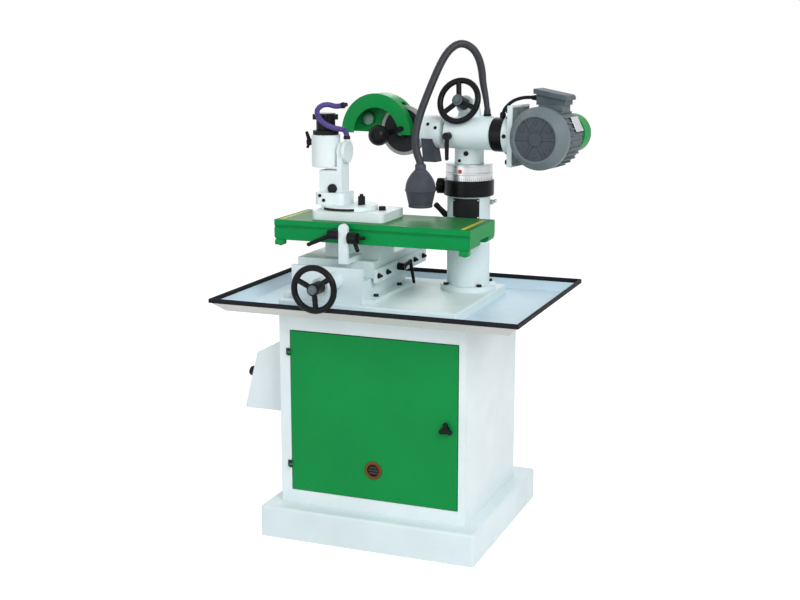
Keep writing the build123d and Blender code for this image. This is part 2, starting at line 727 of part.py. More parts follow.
def box_profile(inset):
    """The switch box outline in (x, z), with its walls moved in by inset."""
    z = PLINTH_H
    slope = (BOX_TOP - BOX_SHOULDER) / BOX_SHOULDER_OUT
    lean = (BOX_FOOT_OUT - BOX_SHOULDER_OUT) / (BOX_SHOULDER - BOX_FOOT)
    top_drop = inset * sqrt(1 + slope ** 2)
    side_in = inset * sqrt(1 + lean ** 2)
    foot = BOX_FOOT + inset
    out_foot = BOX_FOOT_OUT - side_in - inset * lean
    out_shoulder = (BOX_FOOT_OUT - side_in - lean * (BOX_TOP - top_drop - BOX_FOOT)) / (1 - lean * slope)
    shoulder = BOX_TOP - top_drop - slope * out_shoulder
    return [
        (BOX_SIDE, z + BOX_TOP - top_drop),
        (BOX_SIDE - out_shoulder, z + shoulder),
        (BOX_SIDE - out_foot, z + foot),
        (BOX_SIDE, z + foot),
    ]


def cover_plane():
    """The slanted outer face of the switch box, seen from outside, with its middle as the origin."""
    top = box_profile(0)[1]
    foot = box_profile(0)[2]
    middle = ((top[0] + foot[0]) / 2, BOX_FRONT + BOX_L / 2, (top[1] + foot[1]) / 2)
    slope = Vector(top[0] - foot[0], 0, top[1] - foot[1]).normalized()
    outward = Vector(-slope.Z, 0, slope.X)
    return Plane(origin=middle, x_dir=(0, -1, 0), z_dir=outward)


def cover_size():
    top = box_profile(0)[1]
    foot = box_profile(0)[2]
    return BOX_L - 24, sqrt((top[0] - foot[0]) ** 2 + (top[1] - foot[1]) ** 2) - 24


def button_places():
    return [Pos(0, BUTTON_PITCH / 2, 0), Pos(0, -BUTTON_PITCH / 2, 0)]


def switch_box():
    """A sheet box with an opening in its slanted face and a cable gland boss below."""
    back = BOX_FRONT + BOX_L
    box = prism_y(polygon(box_profile(0)), BOX_FRONT, back)
    box -= prism_y(polygon(box_profile(BOX_SHEET)), BOX_FRONT + BOX_SHEET, back - BOX_SHEET)
    box += block(BOX_SIDE - BOX_SHEET, BOX_SIDE, BOX_FRONT, back, PLINTH_H + BOX_FOOT, PLINTH_H + BOX_TOP - 4)
    width, height = cover_size()
    opening = Box(width - 24, height - 24, 4 * BOX_SHEET)
    box -= cover_plane().location * opening
    gland_x = BOX_SIDE - BOX_SHOULDER_OUT / 2
    gland_y = BOX_FRONT + BOX_L / 2
    foot = PLINTH_H + BOX_FOOT
    box += rod_z(GLAND_D, foot - GLAND_L, foot, gland_x, gland_y)
    return box - rod_z(GLAND_BORE, foot - GLAND_L - 1, foot + BOX_SHEET + 1, gland_x, gland_y)


def switch_box_cover():
    width, height = cover_size()
    plate = extrude(RectangleRounded(width, height, 6), COVER_T)
    for place in button_places():
        plate -= place * rod_z(BUTTON_D + 2 * BOLT_GAP, -1, COVER_T + 1)
    return cover_plane().location * plate


def button(number):
    """A push button through the cover, with a wider foot behind it that keeps it in."""
    stem = rod_z(BUTTON_D, -2, COVER_T + BUTTON_OUT) + rod_z(BUTTON_D + 8, -6, -BUTTON_TRAVEL / 8)
    stem = fillet(stem.faces().sort_by(Axis.Z)[-1].edges(), 1.5)
    return cover_plane().location * (button_places()[number] * stem)


# Cross slide

def dovetail(root, flare, height, grow):
    """A dovetail section centred on X = 0, standing on Y = 0 and wider at its top."""
    r = root / 2 + grow
    t = root / 2 + flare + grow
    return polygon([(-r, 0), (r, 0), (t, height + grow), (-t, height + grow)])


def slide_base():
    x0 = SLIDE_X - SLIDE_W / 2
    x1 = SLIDE_X + SLIDE_W / 2
    base = block(x0, x1, SLIDE_FRONT, SLIDE_BACK, PLATE_Z, SLIDE_Z)
    way = Pos(SLIDE_X, SLIDE_Z, 0) * dovetail(WAY_W, WAY_FLARE, WAY_H, 0)
    base += prism_y(way, SLIDE_FRONT, SLIDE_BACK)
    base += block(x0 - FOOT_W, x1 + FOOT_W, SLIDE_FRONT, SLIDE_BACK, PLATE_Z, PLATE_Z + FOOT_T)
    base += block(x0, x1, PLATE_FRONT, SLIDE_FRONT, PLATE_Z, PLATE_Z + FRONT_PLATE_H)
    base += rod_y(BEARING_BOSS_D, BOSS_FRONT, PLATE_FRONT, SCREW_X, SCREW_Z)
    channel_x = SCREW_X - SCREW_CHANNEL_W / 2
    top = SLIDE_Z + WAY_H
    base -= block(channel_x, channel_x + SCREW_CHANNEL_W, SLIDE_FRONT + FRONT_PLATE_T, SLIDE_BACK + 1,
                  top - SCREW_CHANNEL_DEPTH, top + 1)
    bore_back = SLIDE_FRONT + FRONT_PLATE_T + 1
    base -= rod_y(SCREW_SHAFT_D + 2 * RUN_FIT, BOSS_FRONT - 1, bore_back, SCREW_X, SCREW_Z)
    for hole in bolt_holes(slide_bolt_places()):
        base -= hole
    return base


def feed_screw():
    """The cross feed screw with the plain shaft that carries its handwheel."""
    shoulder = SLIDE_FRONT + FRONT_PLATE_T + SLIDE_GAP
    shaft = rod_y(SCREW_SHAFT_D, WHEEL_Y - 4, shoulder, SCREW_X, SCREW_Z)
    return shaft + rod_y(SCREW_D, shoulder, SLIDE_BACK - 10, SCREW_X, SCREW_Z)


def cross_handwheel():
    plane = Plane(origin=(SCREW_X, WHEEL_Y, SCREW_Z), x_dir=(1, 0, 0), z_dir=(0, -1, 0))
    return plane.location * handwheel(SCREW_SHAFT_D + 2 * SEAT_FIT, 35)


def saddle():
    x0 = SLIDE_X - SADDLE_W / 2
    body = block(x0, SADDLE_RIGHT, SADDLE_FRONT, SADDLE_BACK, SADDLE_Z, SADDLE_TOP)
    way = Pos(SLIDE_X, SLIDE_Z, 0) * dovetail(WAY_W, WAY_FLARE, WAY_H, SLIDE_GAP)
    body -= prism_y(way, SADDLE_FRONT - 1, SADDLE_BACK + 1)
    roof = SLIDE_Z + WAY_H + SLIDE_GAP
    nut_x = SCREW_X - NUT_W / 2
    nut_front = NUT_Y - NUT_L / 2
    body += block(nut_x, nut_x + NUT_W, nut_front, nut_front + NUT_L, roof - NUT_DROP, roof + 1)
    body -= rod_y(SCREW_D + 1, nut_front - 1, nut_front + NUT_L + 1, SCREW_X, SCREW_Z)
    half = TABLE_WAY_L / 2
    way_back = TABLE_WAY_FRONT + TABLE_WAY_D
    body += block(TABLE_WAY_X - half, TABLE_WAY_X + half, TABLE_WAY_FRONT, way_back, SADDLE_TOP, TABLE_WAY_Z)
    rail = dovetail(TABLE_DOVETAIL_W, TABLE_DOVETAIL_FLARE, TABLE_DOVETAIL_H, 0)
    rail = extrude(Plane.YZ * (Pos(TABLE_WAY_Y, TABLE_WAY_Z) * rail), TABLE_WAY_L)
    return body + Pos(TABLE_WAY_X - half, 0, 0) * rail


def gib_strip():
    low = SADDLE_Z - GIB_DROP
    strip = block(SADDLE_RIGHT, GIB_RIGHT, SADDLE_FRONT, SADDLE_BACK, low, low + GIB_H)
    hole = LEVER_STUD_D + 2 * BOLT_GAP
    return strip - rod_x(hole, SADDLE_RIGHT - 1, GIB_RIGHT + 1, LOCK_Y, SADDLE_Z + LOCK_RISE)


def saddle_lock_lever():
    """The lever on the gib strip: an arm to the back that turns down."""
    plane = Plane(origin=(GIB_RIGHT, LOCK_Y, SADDLE_Z + LOCK_RISE), x_dir=(0, 1, 0), z_dir=(1, 0, 0))
    elbow = (34, 10, 22)
    end = (46, -50, 28)
    lever = clamp_lever(LEVER_HUB_D, 20, 15, elbow) + between(10, 8, elbow, end) + Pos(*end) * Sphere(4)
    return plane.location * lever


def stop_bracket():
    """An upright plate in front of the table, on a foot that lies on the saddle."""
    x0 = BRACKET_X - BRACKET_W / 2
    x1 = BRACKET_X + BRACKET_W / 2
    front = BRACKET_Y - BRACKET_T / 2
    back = BRACKET_Y + BRACKET_T / 2
    round_z = BRACKET_TOP - BRACKET_W / 2
    plate = block(x0, x1, front, back, SADDLE_TOP, round_z)
    plate += rod_y(BRACKET_W, front, back, BRACKET_X, round_z)
    plate += block(x0, x1, back, TABLE_WAY_FRONT, SADDLE_TOP, SADDLE_TOP + BRACKET_FOOT_T)
    hole = LEVER_STUD_D + 2 * BOLT_GAP
    depth = LEVER_STUD_L + 1
    plate -= rod_x(hole, x0 - 1, x0 + depth, BRACKET_Y, BRACKET_TOP - TABLE_LOCK_DROP)
    return plate - rod_x(hole, x1 - depth, x1 + 1, BRACKET_Y, BRACKET_TOP - STOP_LEVER_DROP)


def table_lock_lever():
    origin = (BRACKET_X - BRACKET_W / 2, BRACKET_Y, BRACKET_TOP - TABLE_LOCK_DROP)
    plane = Plane(origin=origin, x_dir=(0, -1, 0), z_dir=(-1, 0, 0))
    return plane.location * clamp_lever(TABLE_LOCK_HUB_D, 30, 18, (0, -30, TABLE_LOCK_REACH))


def stop_lever():
    """A lever with a hanging arm and a short grip on the end of its hub."""
    origin = (BRACKET_X + BRACKET_W / 2, BRACKET_Y, BRACKET_TOP - STOP_LEVER_DROP)
    plane = Plane(origin=origin, x_dir=(0, 1, 0), z_dir=(1, 0, 0))
    lever = clamp_lever(STOP_LEVER_HUB_D, 25, 14, (0, -30, 25))
    lever += between(12, 9, (0, 0, 20), (0, 2, STOP_GRIP_REACH))
    return plane.location * lever


# Table and work holding

def table():
    x0 = TABLE_X - TABLE_L / 2
    y0 = TABLE_Y - TABLE_D / 2
    y1 = TABLE_Y + TABLE_D / 2
    groove_z = TABLE_TOP - TABLE_GROOVE_DROP
    r = TABLE_BACK_ROUND
    section = polygon([(y0, TABLE_Z), (y1, TABLE_Z), (y1, TABLE_TOP), (y0, TABLE_TOP)])
    section = fillet(section.vertices().group_by(Axis.Y)[0].sort_by(Axis.X)[-1], r)
    section -= Pos(y0, groove_z) * Rectangle(TABLE_GROOVE, TABLE_GROOVE)
    channel = dovetail(TABLE_DOVETAIL_W, TABLE_DOVETAIL_FLARE, TABLE_DOVETAIL_H, SLIDE_GAP)
    section -= Pos(TABLE_WAY_Y, TABLE_WAY_Z) * channel
    bed = Pos(x0, 0, 0) * extrude(Plane.YZ * section, TABLE_L)
    rounds = RectangleRounded(TABLE_L, TABLE_T + 2 * TABLE_END_ROUND, TABLE_END_ROUND)
    envelope = prism_y(Pos(TABLE_X, (TABLE_Z + TABLE_TOP) / 2 + TABLE_END_ROUND) * rounds, y0, y1)
    bed = bed & envelope
    hole = TURN_BOLT_D + 2 * BOLT_GAP
    return bed - rod_z(hole, TABLE_TOP - 12, TABLE_TOP + 1, TURN_X + TURN_BOLT_R, TURN_Y)


def fixture_base():
    outline = RectangleRounded(FIXTURE_W, FIXTURE_D, FIXTURE_CORNER)
    base = Pos(FIXTURE_X, FIXTURE_Y, TABLE_TOP) * extrude(outline, FIXTURE_T)
    base -= rod_z(TURN_SPIGOT_D + 2 * RUN_FIT, FIXTURE_Z - TURN_SPIGOT_L - 1, FIXTURE_Z + 1, TURN_X, TURN_Y)
    hole = TURN_BOLT_D + 2 * BOLT_GAP
    return base - rod_z(hole, TABLE_TOP - 1, FIXTURE_Z + 1, TURN_X + TURN_BOLT_R, TURN_Y)


def clamp_bolt():
    """The stud with its nut that clamps the turntable through its slot."""
    low = TURN_TOP + SLIDE_GAP
    nut = Pos(0, 0, low) * extrude(RegularPolygon(TURN_NUT_D / 2, 6, major_radius=False), TURN_NUT_H)
    nut += rod_z(TURN_BOLT_D, TABLE_TOP - 11, low + TURN_NUT_H + 6)
    return Pos(TURN_X + TURN_BOLT_R, TURN_Y, 0) * nut


def turn_slot():
    """The turntable's arc slot round the clamp bolt."""
    r0 = TURN_BOLT_R - TURN_BOLT_D / 2 - 1
    r1 = TURN_BOLT_R + TURN_BOLT_D / 2 + 1
    outer = CenterArc((0, 0), r1, -TURN_SLOT_HALF, 2 * TURN_SLOT_HALF)
    inner = CenterArc((0, 0), r0, -TURN_SLOT_HALF, 2 * TURN_SLOT_HALF)
    sides = Line(outer @ 0, inner @ 0) + Line(outer @ 1, inner @ 1)
    return make_face(outer + inner + sides)


def turntable():
    disc = Circle(TURN_D / 2) - turn_slot()
    body = Pos(TURN_X, TURN_Y, TURN_Z) * extrude(disc, TURN_T)
    return body + rod_z(TURN_SPIGOT_D, FIXTURE_Z - TURN_SPIGOT_L, TURN_Z + 1, TURN_X, TURN_Y)


def work_post():
    """A foot block, a post and an ear beside the work head that carries its tilt pivot."""
    foot = POST_FOOT_X - POST_FOOT_W / 2
    deep = POST_FOOT_D / 2
    post = block(foot, foot + POST_FOOT_W, WORK_Y - deep, WORK_Y + deep, TURN_TOP, POST_Z)
    post = fillet(post.edges().filter_by(Axis.Z), POST_FOOT_ROUND)
    left = POST_X - POST_W / 2
    post += block(left, left + POST_W, WORK_Y - POST_D / 2, WORK_Y + POST_D / 2, POST_Z, POST_TOP)
    half = EAR_W / 2
    post += block(EAR_X, EAR_X + EAR_T, WORK_Y - half, WORK_Y + half, TURN_TOP, PIVOT_Z)
    post += rod_x(EAR_W, EAR_X, EAR_X + EAR_T, WORK_Y, PIVOT_Z)
    return post - rod_x(PIVOT_D + 2 * RUN_FIT, EAR_X - 1, EAR_X + EAR_T + 1, WORK_Y, PIVOT_Z)


def work_head():
    """The round head with its tilt pivot, the clamp disc outside the ear and the hose boss on that disc."""
    head = rod_z(WORK_D, WORK_Z, WORK_TOP, WORK_X, WORK_Y)
    head = fillet(head.edges().filter_by(GeomType.CIRCLE), 2)
    head += rod_x(PIVOT_D, WORK_X + ARBOR_D / 2 + 6, DISC_X + 1, WORK_Y, PIVOT_Z)
    head += rod_x(CLAMP_DISC_D, DISC_X, DISC_X + CLAMP_DISC_T, WORK_Y, PIVOT_Z)
    boss = rod_z(HOSE_BOSS_D, PIVOT_Z + CLAMP_DISC_D / 2 - 6, HOSE_START_Z, HOSE_START_X, WORK_Y)
    head += boss - block(EAR_X, DISC_X, WORK_Y - HOSE_BOSS_D, WORK_Y + HOSE_BOSS_D, PIVOT_Z, HOSE_START_Z + 1)
    head -= rod_z(ARBOR_D + 2 * RUN_FIT, WORK_Z - 1, WORK_TOP + 1, WORK_X, WORK_Y)
    hole = LEVER_STUD_D + 2 * BOLT_GAP
    left = WORK_X - WORK_D / 2
    return head - rod_x(hole, left - 1, left + LEVER_STUD_L + 4, WORK_Y, PIVOT_Z + INDEX_RISE)


def arbor():
    z = WORK_TOP + SLIDE_GAP
    shaft = rod_z(ARBOR_D, WORK_Z + 4, z, WORK_X, WORK_Y)
    shaft += rod_z(ARBOR_COLLAR_D, z, z + ARBOR_COLLAR_T, WORK_X, WORK_Y)
    spigot = z + ARBOR_COLLAR_T
    shaft += rod_z(ARBOR_SPIGOT_D, spigot, spigot + ARBOR_SPIGOT_L, WORK_X, WORK_Y)
    thread = spigot + ARBOR_SPIGOT_L
    return shaft + rod_z(ARBOR_THREAD_D, thread, thread + ARBOR_THREAD_L, WORK_X, WORK_Y)


def arbor_knob():
    """The star knob that clamps the blade, with its skirt standing on the arbor's collar."""
    z = WORK_TOP + SLIDE_GAP + ARBOR_COLLAR_T + SLIDE_GAP
    star = z + KNOB_SKIRT_T
    top = star + KNOB_STAR_T
    knob = rod_z(KNOB_SKIRT_D, z, star)
    knob += rod_z(0.72 * KNOB_STAR_D, star, top)
    for lobe in range(5):
        a = radians(72 * lobe)
        r = KNOB_STAR_D / 2 - 9
        knob += rod_z(18, star + 2, top - 2, r * cos(a), r * sin(a))
    bore_top = z + ARBOR_SPIGOT_L
    knob -= rod_z(ARBOR_SPIGOT_D + 2 * RUN_FIT, z - 1, bore_top)
    knob -= rod_z(ARBOR_THREAD_D + 2 * RUN_FIT, z, bore_top + ARBOR_THREAD_L + 1)
    return Pos(WORK_X, WORK_Y, 0) * knob


def index_lever():
    """A short finger lever on the left of the work head."""
    origin = (WORK_X - WORK_D / 2, WORK_Y, PIVOT_Z + INDEX_RISE)
    plane = Plane(origin=origin, x_dir=(0, -1, 0), z_dir=(-1, 0, 0))
    lever = rod_z(LEVER_STUD_D, -LEVER_STUD_L, 2) + rod_z(INDEX_HUB_D, 1.2, 15)
    lever += between(12, 8, (0, 0, 9), (-4, INDEX_FINGER, 20))
    lever += between(9, 7, (0, 0, 9), (6, -INDEX_TAIL, 14))
    return plane.location * lever


def coolant_hose():
    return bent_tube(HOSE_D, HOSE_ROUTE)


# Column and lift, on the column's axis

def column():
    tube = rod_z(COLUMN_FLANGE_D, PLATE_Z, PLATE_Z + COLUMN_FLANGE_T) + rod_z(COLUMN_D, PLATE_Z, COLUMN_TOP)
    tube -= rod_z(SLEEVE_D + 2 * RUN_FIT, PLATE_Z - 1, COLUMN_TOP + 1)
    tube = Pos(COLUMN_X, COLUMN_Y, 0) * tube
    for hole in bolt_holes(column_bolt_places()):
        tube -= hole
    return tube


def clamp_collar():
    collar = rod_z(COLLAR_D, COLUMN_TOP, COLLAR_TOP)
    collar = fillet(collar.edges().filter_by(GeomType.CIRCLE), 3)
    collar -= rod_z(SLEEVE_D + 2 * RUN_FIT, COLUMN_TOP - 1, COLLAR_TOP + 1)
    z = (COLUMN_TOP + COLLAR_TOP) / 2
    collar -= rod_x(COLLAR_STUD_D + 2 * BOLT_GAP, -COLLAR_D, 0, 0, z)
    return Pos(COLUMN_X, COLUMN_Y, 0) * collar


def swivel_clamp_knob():
    """A fluted knob whose stud reaches the sleeve through the collar's left side."""
    z = (COLUMN_TOP + COLLAR_TOP) / 2
    r = COLLAR_D / 2 + SLIDE_GAP
    knob = rod_x(COLLAR_STUD_D, -r - 4, -SLEEVE_D / 2 - 2 * SLIDE_GAP, 0, z)
    grip = rod_x(COLLAR_KNOB_D, -r - COLLAR_KNOB_L, -r, 0, z)
    for flute in range(8):
        a = radians(45 * flute)
        edge = COLLAR_KNOB_D / 2 + 1
        grip -= rod_x(7, -r - COLLAR_KNOB_L - 1, -r - 4, edge * cos(a), z + edge * sin(a))
    return Pos(COLUMN_X, COLUMN_Y, 0) * (knob + grip)


def swivel_sleeve():
    """The sleeve that turns in the column, with the graduated ring on top and the lift nut at its foot."""
    low = RING_Z - SLEEVE_L
    sleeve = rod_z(SLEEVE_D, low, RING_Z + 1) + rod_z(RING_D, RING_Z, RING_TOP)
    sleeve -= rod_z(POST_TUBE_D + 2 * RUN_FIT, low + LIFT_NUT_H, RING_TOP + 1)
    sleeve -= rod_z(LIFT_SCREW_D + 2 * RUN_FIT, low - 1, low + LIFT_NUT_H + 1)
    return HEAD * sleeve


def lift_post():
    tube = rod_z(POST_TUBE_D, RING_TOP - POST_TUBE_DOWN, NECK_Z + NECK_BORE_DEPTH)
    return HEAD * (tube - rod_z(POST_TUBE_BORE, 0, 2 * AXIS_Z))


def shaft_plane():
    """The lift shaft's axis: it rises to the front, out of the gear housing."""
    tilt = radians(LIFT_SHAFT_TILT)
    origin = (0, LIFT_SHAFT_Y, AXIS_Z + LIFT_SHAFT_RISE)
    return Plane(origin=origin, x_dir=(1, 0, 0), z_dir=(0, -cos(tilt), sin(tilt)))


def head_casting():
    """The barrel on its neck, with the gear housing on top and a pad for the lamp behind."""
    top = AXIS_Z + HOUSING_RISE
    body = rod_z(NECK_D, NECK_Z, AXIS_Z) + rod_x(BARREL_D, BARREL_LEFT, BARREL_RIGHT, BARREL_Y, AXIS_Z)
    body += Pos(0, 0, AXIS_Z) * Cone(HOUSING_D / 2, HOUSING_TOP_D / 2, HOUSING_RISE, align=LOW)
    boss = Cylinder(LIFT_BOSS_D / 2, LIFT_WHEEL_STAND - HANDWHEEL_STAND, align=LOW)
    body += shaft_plane().location * boss
    body += rod_z(LAMP_PAD_D, AXIS_Z, LAMP_PAD_TOP, LAMP_PAD_X, LAMP_PAD_Y)
    pad = LAMP_PAD_D / 2
    body += block(LAMP_PAD_X - pad, LAMP_PAD_X + pad, 0, LAMP_PAD_Y, AXIS_Z, LAMP_PAD_TOP)
    room_z = AXIS_Z + BARREL_D / 2
    room = Cone(GEAR_ROOM_D / 2, GEAR_ROOM_TOP_D / 2, top - HOUSING_ROOF - room_z, align=LOW)
    body -= Pos(0, 0, room_z) * room
    body -= shaft_plane().location * Cylinder(LIFT_SHAFT_D / 2 + RUN_FIT, LIFT_WHEEL_STAND, align=LOW)
    spot = rod_z(HANDWHEEL_HUB_D + 3, LIFT_WHEEL_STAND - HANDWHEEL_STAND, 2 * LIFT_WHEEL_STAND)
    body -= shaft_plane().location * spot
    body -= rod_x(QUILL_D + 2 * RUN_FIT, BARREL_LEFT - 1, BARREL_RIGHT + 1, BARREL_Y, AXIS_Z)
    body -= rod_z(POST_TUBE_D + 2 * SEAT_FIT, NECK_Z - 1, NECK_Z + NECK_BORE_DEPTH)
    body -= rod_z(LIFT_SCREW_D + 2 * RUN_FIT, NECK_Z, AXIS_Z + BARREL_D / 2 + 1)
    hole = LEVER_STUD_D + 2 * BOLT_GAP
    body -= rod_y(hole, BARREL_Y - BARREL_D, BARREL_Y - QUILL_D / 2, TILT_LOCK_X, AXIS_Z - TILT_LOCK_DROP)
    return HEAD * body


def lift_screw():
    """The elevating screw, with a bevel gear at its top inside the gear housing."""
    floor = AXIS_Z + BARREL_D / 2 + SLIDE_GAP
    gear = floor + GEAR_HUB_H
    screw = rod_z(LIFT_SCREW_D, PLATE_Z + 6, gear) + rod_z(GEAR_HUB_D, floor, gear)
    screw += Pos(0, 0, gear) * Cone(GEAR_D / 2, GEAR_D / 2 - GEAR_T, GEAR_T, align=LOW)
    return HEAD * screw


def lift_handwheel():
    """The lift handwheel with its shaft and bevel pinion."""
    wheel = Pos(0, 0, LIFT_WHEEL_STAND) * handwheel(LIFT_SHAFT_D / 2, 100)
    wheel += rod_z(LIFT_SHAFT_D, PINION_OUT, LIFT_WHEEL_STAND)
    wheel += Pos(0, 0, PINION_OUT) * Cone(LIFT_SHAFT_D / 2 + 1, PINION_D / 2, PINION_T, align=LOW)
    return HEAD * (shaft_plane().location * wheel)


def tilt_lock_lever():
    front = BARREL_Y - BARREL_D / 2
    origin = (TILT_LOCK_X, front, AXIS_Z - TILT_LOCK_DROP)
    plane = Plane(origin=origin, x_dir=(1, 0, 0), z_dir=(0, -1, 0))
    return HEAD * (plane.location * clamp_lever(LEVER_HUB_D, TILT_LOCK_L, 11, (2, -TILT_LOCK_REACH, 14)))


# Grinding head, in the head's frame

def spindle_block():
    """The round block on the quill's end, with an arm to the spindle housing behind the wheel."""
    low = AXIS_Z - ARM_H / 2
    high = AXIS_Z + ARM_H / 2
    body = rod_x(BLOCK_D, BLOCK_LEFT, BLOCK_RIGHT, BARREL_Y, AXIS_Z)
    body += block(SPINDLE_X, BLOCK_LEFT + BLOCK_L * 0.75, ARM_FRONT, ARM_FRONT + ARM_T, low, high)
    body += rod_y(SPINDLE_HOUSING_D, ARM_FRONT, SPINDLE_HOUSING_BACK, SPINDLE_X, AXIS_Z)
    body += rod_y(SPINDLE_NOSE_D, ARM_FRONT - SPINDLE_NOSE_L, ARM_FRONT, SPINDLE_X, AXIS_Z)
    body -= rod_x(QUILL_D + 2 * SEAT_FIT, BLOCK_LEFT + 8, BLOCK_RIGHT + 1, BARREL_Y, AXIS_Z)
    body -= rod_y(SPINDLE_D + 2 * RUN_FIT, -BLOCK_D, SPINDLE_HOUSING_BACK + 1, SPINDLE_X, AXIS_Z)
    return HEAD * body


def spindle():
    """The wheel spindle with its inner flange and rear pulley."""
    front = WHEEL_FRONT - WHEEL_FLANGE_T - WHEEL_NUT_T - 3
    shaft = rod_y(SPINDLE_D, front, BELT_GUARD_BACK - 6, SPINDLE_X, AXIS_Z)
    shaft += rod_y(WHEEL_FLANGE_D, WHEEL_BACK, WHEEL_BACK + WHEEL_FLANGE_T, SPINDLE_X, AXIS_Z)
    half = PULLEY_W / 2
    shaft += rod_y(SPINDLE_PULLEY_D, PULLEY_Y - half, PULLEY_Y + half, SPINDLE_X, AXIS_Z)
    return HEAD * shaft


def grinding_wheel():
    disc = rod_y(WHEEL_D, WHEEL_FRONT, WHEEL_BACK, SPINDLE_X, AXIS_Z)
    disc = fillet(disc.edges().filter_by(GeomType.CIRCLE), 1)
    bore = rod_y(SPINDLE_D + 2 * SEAT_FIT, WHEEL_FRONT - 1, WHEEL_BACK + 1, SPINDLE_X, AXIS_Z)
    return HEAD * (disc - bore)


def wheel_nut():
    face = WHEEL_FRONT - WHEEL_FLANGE_T
    nut = rod_y(WHEEL_FLANGE_D, face, WHEEL_FRONT, SPINDLE_X, AXIS_Z)
    hexagon = Pos(SPINDLE_X, AXIS_Z) * RegularPolygon(WHEEL_NUT_D / 2, 6, major_radius=False)
    nut += prism_y(hexagon, face - WHEEL_NUT_T, face)
    bore = rod_y(SPINDLE_D + 2 * SEAT_FIT, face - WHEEL_NUT_T - 1, WHEEL_FRONT + 1, SPINDLE_X, AXIS_Z)
    return HEAD * (nut - bore)


def guard_half(radius):
    """The upper half of a disc round the guard's centre, as a sketch in (x, z)."""
    below = Pos(GUARD_X, GUARD_Z - GUARD_R) * Rectangle(4 * GUARD_R, 2 * GUARD_R)
    return Pos(GUARD_X, GUARD_Z) * Circle(radius) - below


def wheel_guard():
    """A half-round hood: an arched front plate, a rim, and a back plate with its ring on the housing nose."""
    front = guard_half(GUARD_R) - guard_half(GUARD_ARCH_R)
    hood = prism_y(front, GUARD_FRONT, GUARD_FRONT + GUARD_SHEET)
    wall = guard_half(GUARD_R) - guard_half(GUARD_R - GUARD_SHEET)
    end = radians(GUARD_WALL_END)
    far = 2 * GUARD_R
    gap = polygon([
        (GUARD_X, GUARD_Z),
        (GUARD_X + far, GUARD_Z),
        (GUARD_X + far, GUARD_Z + far * tan(end)),
    ])
    hood += prism_y(wall - gap, GUARD_FRONT, GUARD_BACK)
    hood += prism_y(wall & gap, GUARD_FRONT, WHEEL_FRONT - GUARD_WHEEL_GAP)
    hood += prism_y(wall & gap, WHEEL_BACK + GUARD_WHEEL_GAP, GUARD_BACK)
    back = guard_half(GUARD_R) + Pos(SPINDLE_X, AXIS_Z) * Circle(GUARD_RING_D / 2)
    hood += prism_y(back, GUARD_BACK - GUARD_SHEET, GUARD_BACK)
    boss_front = GUARD_BACK - GUARD_SHEET - GUARD_PORT_L
    hood += rod_y(GUARD_PORT_D, boss_front, GUARD_BACK, GUARD_X + GUARD_PORT_X, AXIS_Z + GUARD_PORT_Z)
    ring_front = ARM_FRONT - SPINDLE_NOSE_L + 1
    hood += rod_y(GUARD_RING_D, ring_front, ARM_FRONT - SLIDE_GAP, SPINDLE_X, AXIS_Z)
    hood -= rod_y(SPINDLE_NOSE_D + 2 * RUN_FIT, ring_front - 1, 0, SPINDLE_X, AXIS_Z)
    return HEAD * hood


def guard_handle():
    """A bar across the guard's arch with a ball to pull the guard by."""
    back = GUARD_FRONT
    front = GUARD_FRONT - HANDLE_BAR_T
    root = (HANDLE_ROOT_X, AXIS_Z + HANDLE_ROOT_Z)
    tip = (HANDLE_BALL_X, AXIS_Z + HANDLE_BALL_Z)
    length = sqrt((root[0] - tip[0]) ** 2 + (root[1] - tip[1]) ** 2)
    lean = degrees(atan2(root[1] - tip[1], root[0] - tip[0]))
    middle = Pos((root[0] + tip[0]) / 2, (root[1] + tip[1]) / 2) * Rot(0, 0, lean)
    bar = prism_y(middle * SlotCenterToCenter(length, HANDLE_BAR_W), front, back)
    bolt = Pos(*root) * RegularPolygon(5, 6)
    bar += prism_y(bolt, front - 4, front)
    washer = front - HANDLE_WASHER_T
    bar += rod_y(HANDLE_WASHER_D, washer, front, tip[0], tip[1])
    ball_y = washer - sqrt(HANDLE_BALL_D ** 2 - HANDLE_WASHER_D ** 2) / 2
    return HEAD * (bar + Pos(tip[0], ball_y, tip[1]) * Sphere(HANDLE_BALL_D / 2))


def dust_chute():
    """A sheet chute, open below, on the lower front of the spindle block."""
    top = AXIS_Z - CHUTE_DROP

    def funnel(inset, low, high):
        wide = Rectangle(CHUTE_W - 2 * inset, CHUTE_D - 2 * inset)
        slim = Rectangle(CHUTE_W - 2 * inset - 2 * CHUTE_TAPER, CHUTE_D - 2 * inset - 2 * CHUTE_TAPER)
        return loft([Pos(0, CHUTE_LEAN, low) * wide, Pos(0, 0, high) * slim])

    chute = funnel(0, top - CHUTE_H, top) - funnel(CHUTE_SHEET, top - CHUTE_H, top - CHUTE_SHEET)
    chute = Pos(CHUTE_X, CHUTE_Y, 0) * chute
    return HEAD * (chute - rod_x(BLOCK_D + 2 * SEAT_FIT, BLOCK_LEFT - 1, BLOCK_RIGHT + 1, BARREL_Y, AXIS_Z))


# Motor and drive, in the head's frame

def tilt_quill():
    return HEAD * rod_x(QUILL_D, BLOCK_LEFT + 10, QUILL_RIGHT, BARREL_Y, AXIS_Z)


def tilt_ring():
    left = BARREL_RIGHT + END_GAP
    ring = rod_x(TILT_RING_D, left, left + TILT_RING_L, BARREL_Y, AXIS_Z)
    ring = fillet(ring.edges().filter_by(GeomType.CIRCLE), 2)
    bore = rod_x(QUILL_D + 2 * SEAT_FIT, left - 1, left + TILT_RING_L + 1, BARREL_Y, AXIS_Z)
    lead_x, lead_y, lead_z = LEAD_ROUTE[-1]
    ring += rod_z(LEAD_BOSS_D, AXIS_Z, lead_z, lead_x, lead_y)
    return HEAD * (ring - bore)


